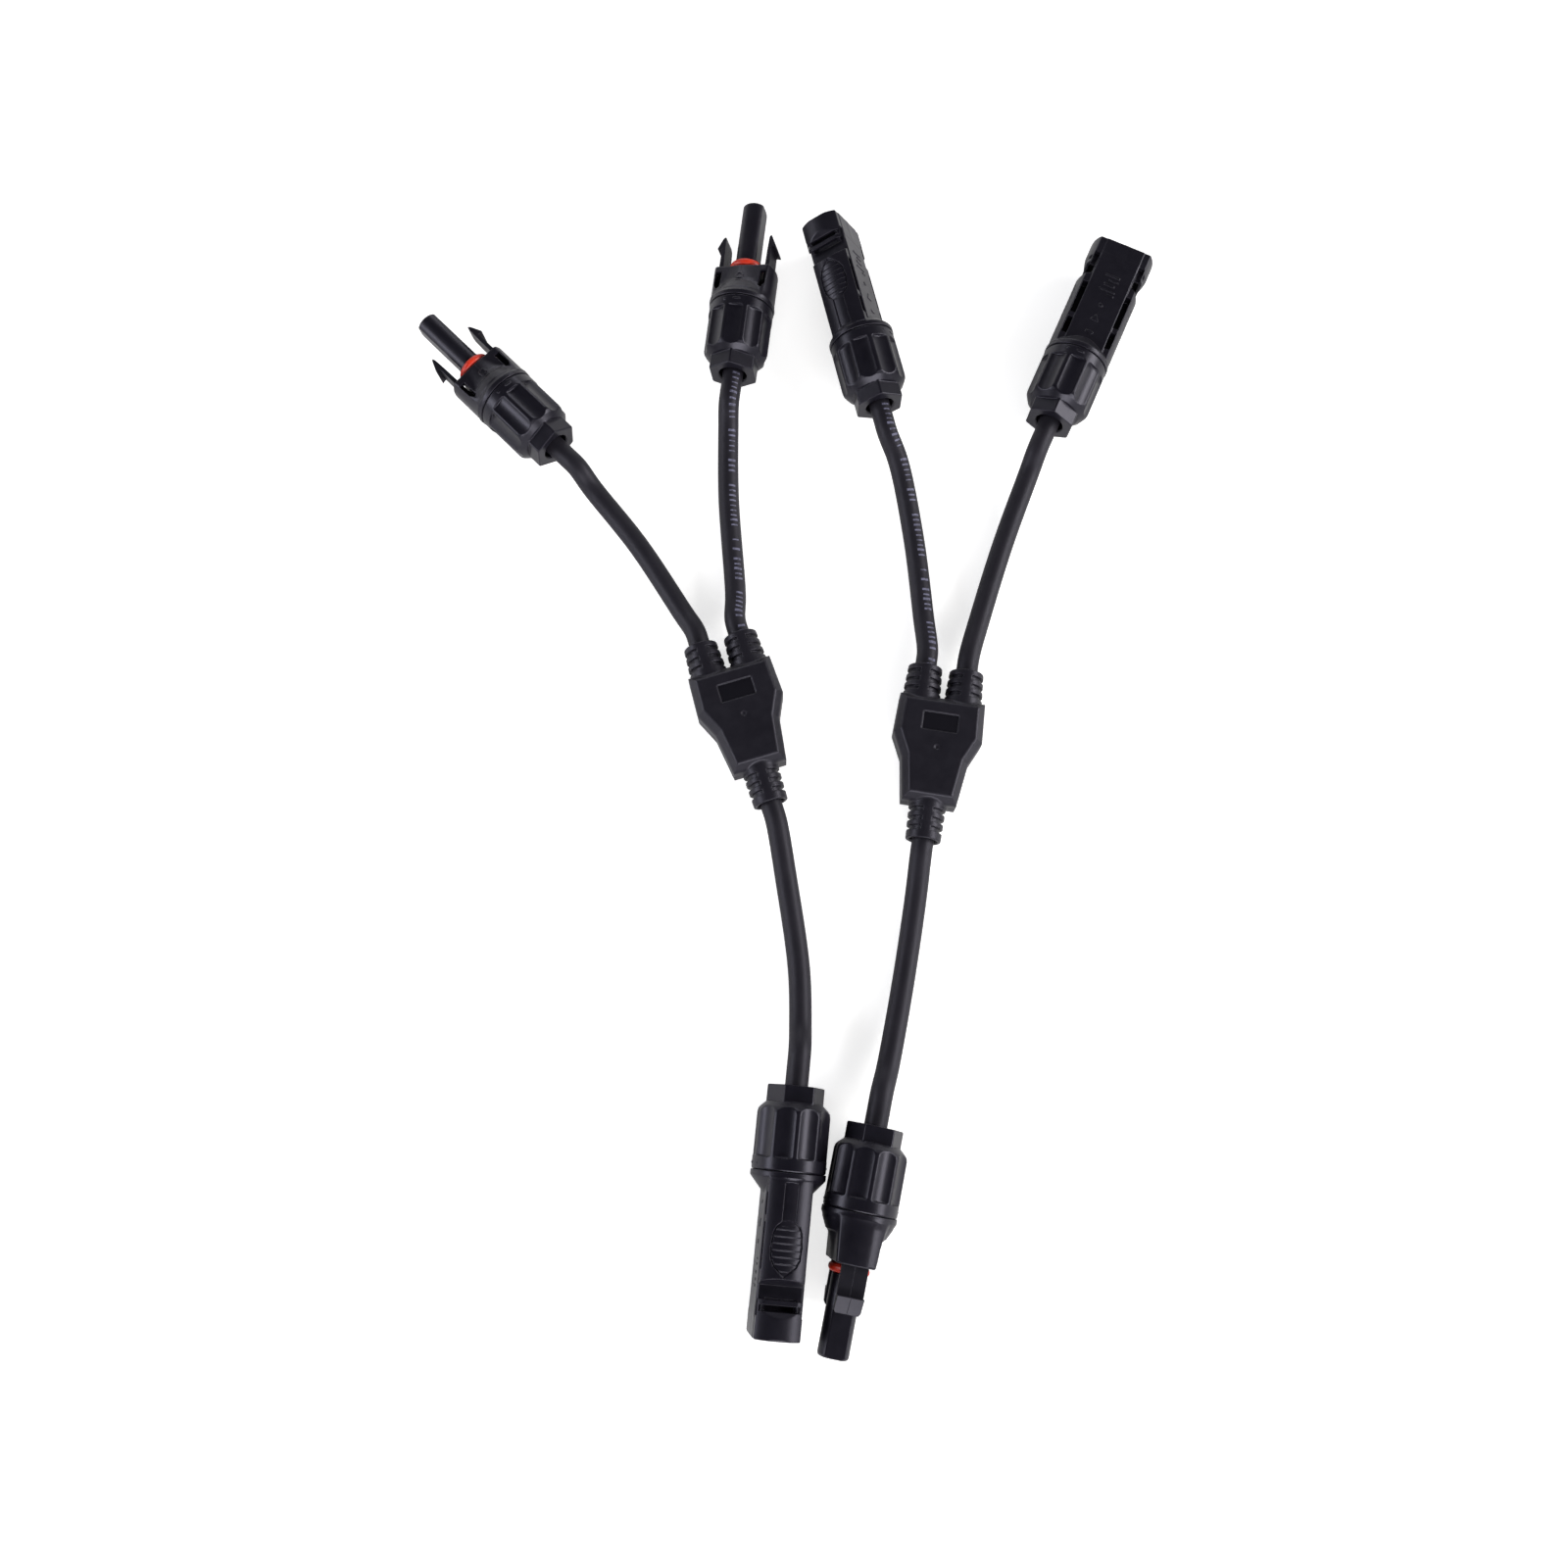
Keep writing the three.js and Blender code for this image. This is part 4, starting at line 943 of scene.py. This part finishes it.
# middle points of each run, x, y, z in millimetres from that point
CABLE_MIDDLES = {
    "a_left": [(-28.3, 48.3, 4.6), (-42.1, 70.1, 4.0), (-56.0, 87.5, 6.2)],
    "a_right": [(-13.8, 54.0, 4.6), (-16.1, 84.9, 4.0), (-16.3, 106.5, 6.8)],
    "a_lower": [(0.4, -26.5, 4.6), (4.0, -52.0, 4.0), (4.3, -68.0, 6.2)],
    "b_left": [(39.7, 47.0, 4.6), (37.5, 72.0, 4.0), (33.2, 95.5, 6.8)],
    "b_right": [(55.5, 47.0, 4.6), (63.2, 70.5, 4.0), (71.3, 92.0, 6.6)],
    "b_lower": [(35.5, -33.0, 4.6), (31.8, -55.0, 4.0), (27.0, -78.0, 6.6)]}
MARKED_LEGS = ("a_right", "b_left")
CABLE_RADIUS, CABLE_BORE = 3.0, 1.7
CABLE_SEGMENTS, CABLE_STEP = 64, 0.9
CURVE_STEPS = 60


def smooth_curve(points):
    """Dense points of a centripetal Catmull-Rom curve."""
    points = np.array(points, float)
    points = np.vstack([2 * points[0] - points[1], points, 2 * points[-1] - points[-2]])
    result = []
    for i in range(1, len(points) - 2):
        span = points[i - 1 : i + 3]
        gaps = np.maximum(np.linalg.norm(np.diff(span, axis=0), axis=1), 1e-6) ** 0.5
        knots = np.concatenate([[0], np.cumsum(gaps)])
        at = np.linspace(knots[1], knots[2], CURVE_STEPS, endpoint=False)[:, None]

        def between(a, b, first, second):
            width = knots[b] - knots[a]
            return (knots[b] - at) / width * first + (at - knots[a]) / width * second

        legs = [between(k, k + 1, span[k], span[k + 1]) for k in range(3)]
        halves = [between(k, k + 2, legs[k], legs[k + 1]) for k in range(2)]
        result.append(between(1, 2, *halves))
    return np.vstack(result + [points[-2][None]])


def cable_line(leg, start, out):
    """Centre line points and their distances along the cable."""
    origin, x_axis = (np.array(part, float) for part in CONNECTORS[leg])
    origin = origin / MM
    boot_exit = start + out * 3.3
    nut_entry = origin - x_axis * 5.0
    middles = [np.array(point) + np.array(LAYOUT) for point in CABLE_MIDDLES[leg]]
    path = smooth_curve(
        [boot_exit, boot_exit + out * 4] + middles + [nut_entry - x_axis * 4, nut_entry])
    path = np.vstack([start - out * 0.6, path, origin + x_axis * 21.6])
    lengths = np.linalg.norm(np.diff(path, axis=0), axis=1)
    reached = np.concatenate([[0], np.cumsum(lengths)])
    along = np.linspace(0, reached[-1], int(reached[-1] / (CABLE_STEP * COARSE)))
    line = np.stack([np.interp(along, reached, path[:, k]) for k in range(3)], 1)
    # smooth the resampled line a little, ends fixed
    for _ in range(4):
        line[1:-1] = 0.25 * line[:-2] + 0.5 * line[1:-1] + 0.25 * line[2:]
    return line, along


def cable_mesh(name, line, along):
    """Tube with rounded cut ends; UV is metres along and share of the way around."""
    tangent = np.gradient(line, axis=0)
    tangent /= np.linalg.norm(tangent, axis=1)[:, None]
    side = np.cross(tangent, (0, 0, 1.0))
    side /= np.linalg.norm(side, axis=1)[:, None]
    up = np.cross(side, tangent)
    # rings as point, radius and push along the line: cut end, outer wall, cut end, bore
    last = len(line) - 1
    face, edge = CABLE_RADIUS - 0.35, CABLE_RADIUS - 0.1
    rings = [(0, CABLE_BORE, 0), (0, face, 0), (0, edge, 0.1)]
    rings += [(i, CABLE_RADIUS, 0) for i in range(1, last)]
    rings += [(last, edge, -0.1), (last, face, 0), (last, CABLE_BORE, 0)]
    rings += [(i, CABLE_BORE, 0) for i in range(last - 1, 0, -1)]
    point = np.array([ring[0] for ring in rings])
    radius, push = np.array([ring[1:] for ring in rings]).T
    angle = (np.arange(CABLE_SEGMENTS) * FULL_TURN / CABLE_SEGMENTS)[:, None]
    spokes = np.cos(angle) * side[point][:, None] + np.sin(angle) * up[point][:, None]
    centre = line[point] + tangent[point] * push[:, None]
    vertices = (centre[:, None] + radius[:, None, None] * spokes).reshape(-1, 3)
    quads = ring_quads(len(rings), CABLE_SEGMENTS)[:, [0, 3, 2, 1]]
    run = along[point] * MM
    here = np.repeat(run, CABLE_SEGMENTS)
    ahead = np.repeat(np.append(run[1:], run[-1]), CABLE_SEGMENTS)
    segment = np.tile(np.arange(CABLE_SEGMENTS), len(rings))
    low, high = segment / CABLE_SEGMENTS, (segment + 1) / CABLE_SEGMENTS
    uv = np.stack([here, low, here, high, ahead, high, ahead, low], -1)
    return mesh_of(name, vertices * MM, quads, uv=uv)


def cable(leg):
    harness = leg[0]
    start = np.array(JOINTS[leg + "_cable_bend"]["pos_m"]) / MM
    out = np.array(SPLITTERS[harness][1]) * (-1 if leg.endswith("lower") else 1)
    mesh = cable_mesh(leg + "_jacket_mesh", *cable_line(leg, start, out))
    mesh.materials.append(JACKET_MARKED if leg in MARKED_LEGS else JACKET)
    placed = bpy.data.objects.new(leg + "_cable_jacket_fine", mesh)
    bpy.context.scene.collection.objects.link(placed)
    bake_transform(placed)
    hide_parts(leg + "_cable_jacket")


for leg in SOCKETS + PLUGS:
    cable(leg)

# ---------------------------------------------------------------- floor, light, camera
FLOOR_HALF = 6.0
FLOOR_Z = -0.00015


def floor_material():
    """White that glows more to the camera than to the pieces."""
    material, shader, surface = new_material("stage_white")
    patches = shader.noise(shader.coords(own=False), scale=6, detail=3)
    seen = shader.node("LightPath").outputs["Is Camera Ray"]
    shader.feed(surface, {
        "Base Color": shader.mix(patches, (0.93, 0.93, 0.93), (0.95, 0.95, 0.95)),
        "Roughness": 0.6,
        "Specular IOR Level": 0.2,
        "Emission Color": (1, 1, 1),
        "Emission Strength": shader.scaled(seen, span=0.55, base=0.12)})
    return material


def stage_floor():
    mesh = bpy.data.meshes.new("stage_floor")
    corners = [(x * FLOOR_HALF, y * FLOOR_HALF, 0) for x, y in ((-1, -1), (1, -1), (1, 1), (-1, 1))]
    mesh.from_pydata(corners, [], [(0, 1, 2, 3)])
    mesh.materials.append(floor_material())
    floor = bpy.data.objects.new("stage_floor", mesh)
    floor.location = (0, 0, FLOOR_Z)
    bpy.context.scene.collection.objects.link(floor)


def sky():
    """World grey that darkens with height."""
    world = bpy.data.worlds.new("world")
    bpy.context.scene.world = world
    world.use_nodes = True
    shader = Shader(world.node_tree)
    coords = shader.node("TexCoord").outputs["Generated"]
    height = shader.node("SeparateXYZ", {0: coords}).outputs[2]
    grey = shader.ramp(height, (0.0, 0.85), (0.20, 0.50), (0.38, 0.10), (0.7, 0.04), (1.0, 0.03))
    shader.feed(world.node_tree.nodes["Background"], {"Color": grey, "Strength": 1.0})


def aim_at(item, target):
    direction = Vector(target) - item.location
    item.rotation_euler = direction.to_track_quat("-Z", "Y").to_euler()


def area(name, location, size, power, colour, target=(0, 0, 0)):
    light = bpy.data.lights.new(name, "AREA")
    light.shape = "RECTANGLE"
    light.size, light.size_y = size
    light.energy = power
    light.color = colour
    lamp = bpy.data.objects.new(name, light)
    lamp.location = location
    aim_at(lamp, target)
    bpy.context.scene.collection.objects.link(lamp)


def camera():
    """Camera aimed at the point the harnesses are laid out about."""
    lens = bpy.data.cameras.new("cam")
    lens.sensor_width = 36
    lens.lens = 31.95
    lens.clip_start = 0.01
    holder = bpy.data.objects.new("cam", lens)
    bpy.context.scene.collection.objects.link(holder)
    target = LAYOUT * MM
    holder.location = target + Vector((0, -0.09649, 0.37581))
    aim_at(holder, target)
    bpy.context.scene.camera = holder


stage_floor()
sky()
area("front", location=(0.25, -1.45, 0.80), target=(0, -0.02, 0), size=(1.7, 0.55),
     power=22.0, colour=(1.0, 0.99, 0.98))
area("right", location=(1.45, 0.10, 0.78), size=(1.5, 0.60), power=21.0,
     colour=(1.0, 0.985, 0.965))
area("left", location=(-1.45, -0.05, 0.70), size=(1.4, 0.45), power=11.0,
     colour=(0.95, 0.96, 1.0))
area("back", location=(-0.15, 1.90, 0.75), size=(1.4, 0.30), power=5.0,
     colour=(0.96, 0.96, 1.0))
camera()
bpy.context.scene.view_settings.view_transform = "Standard"
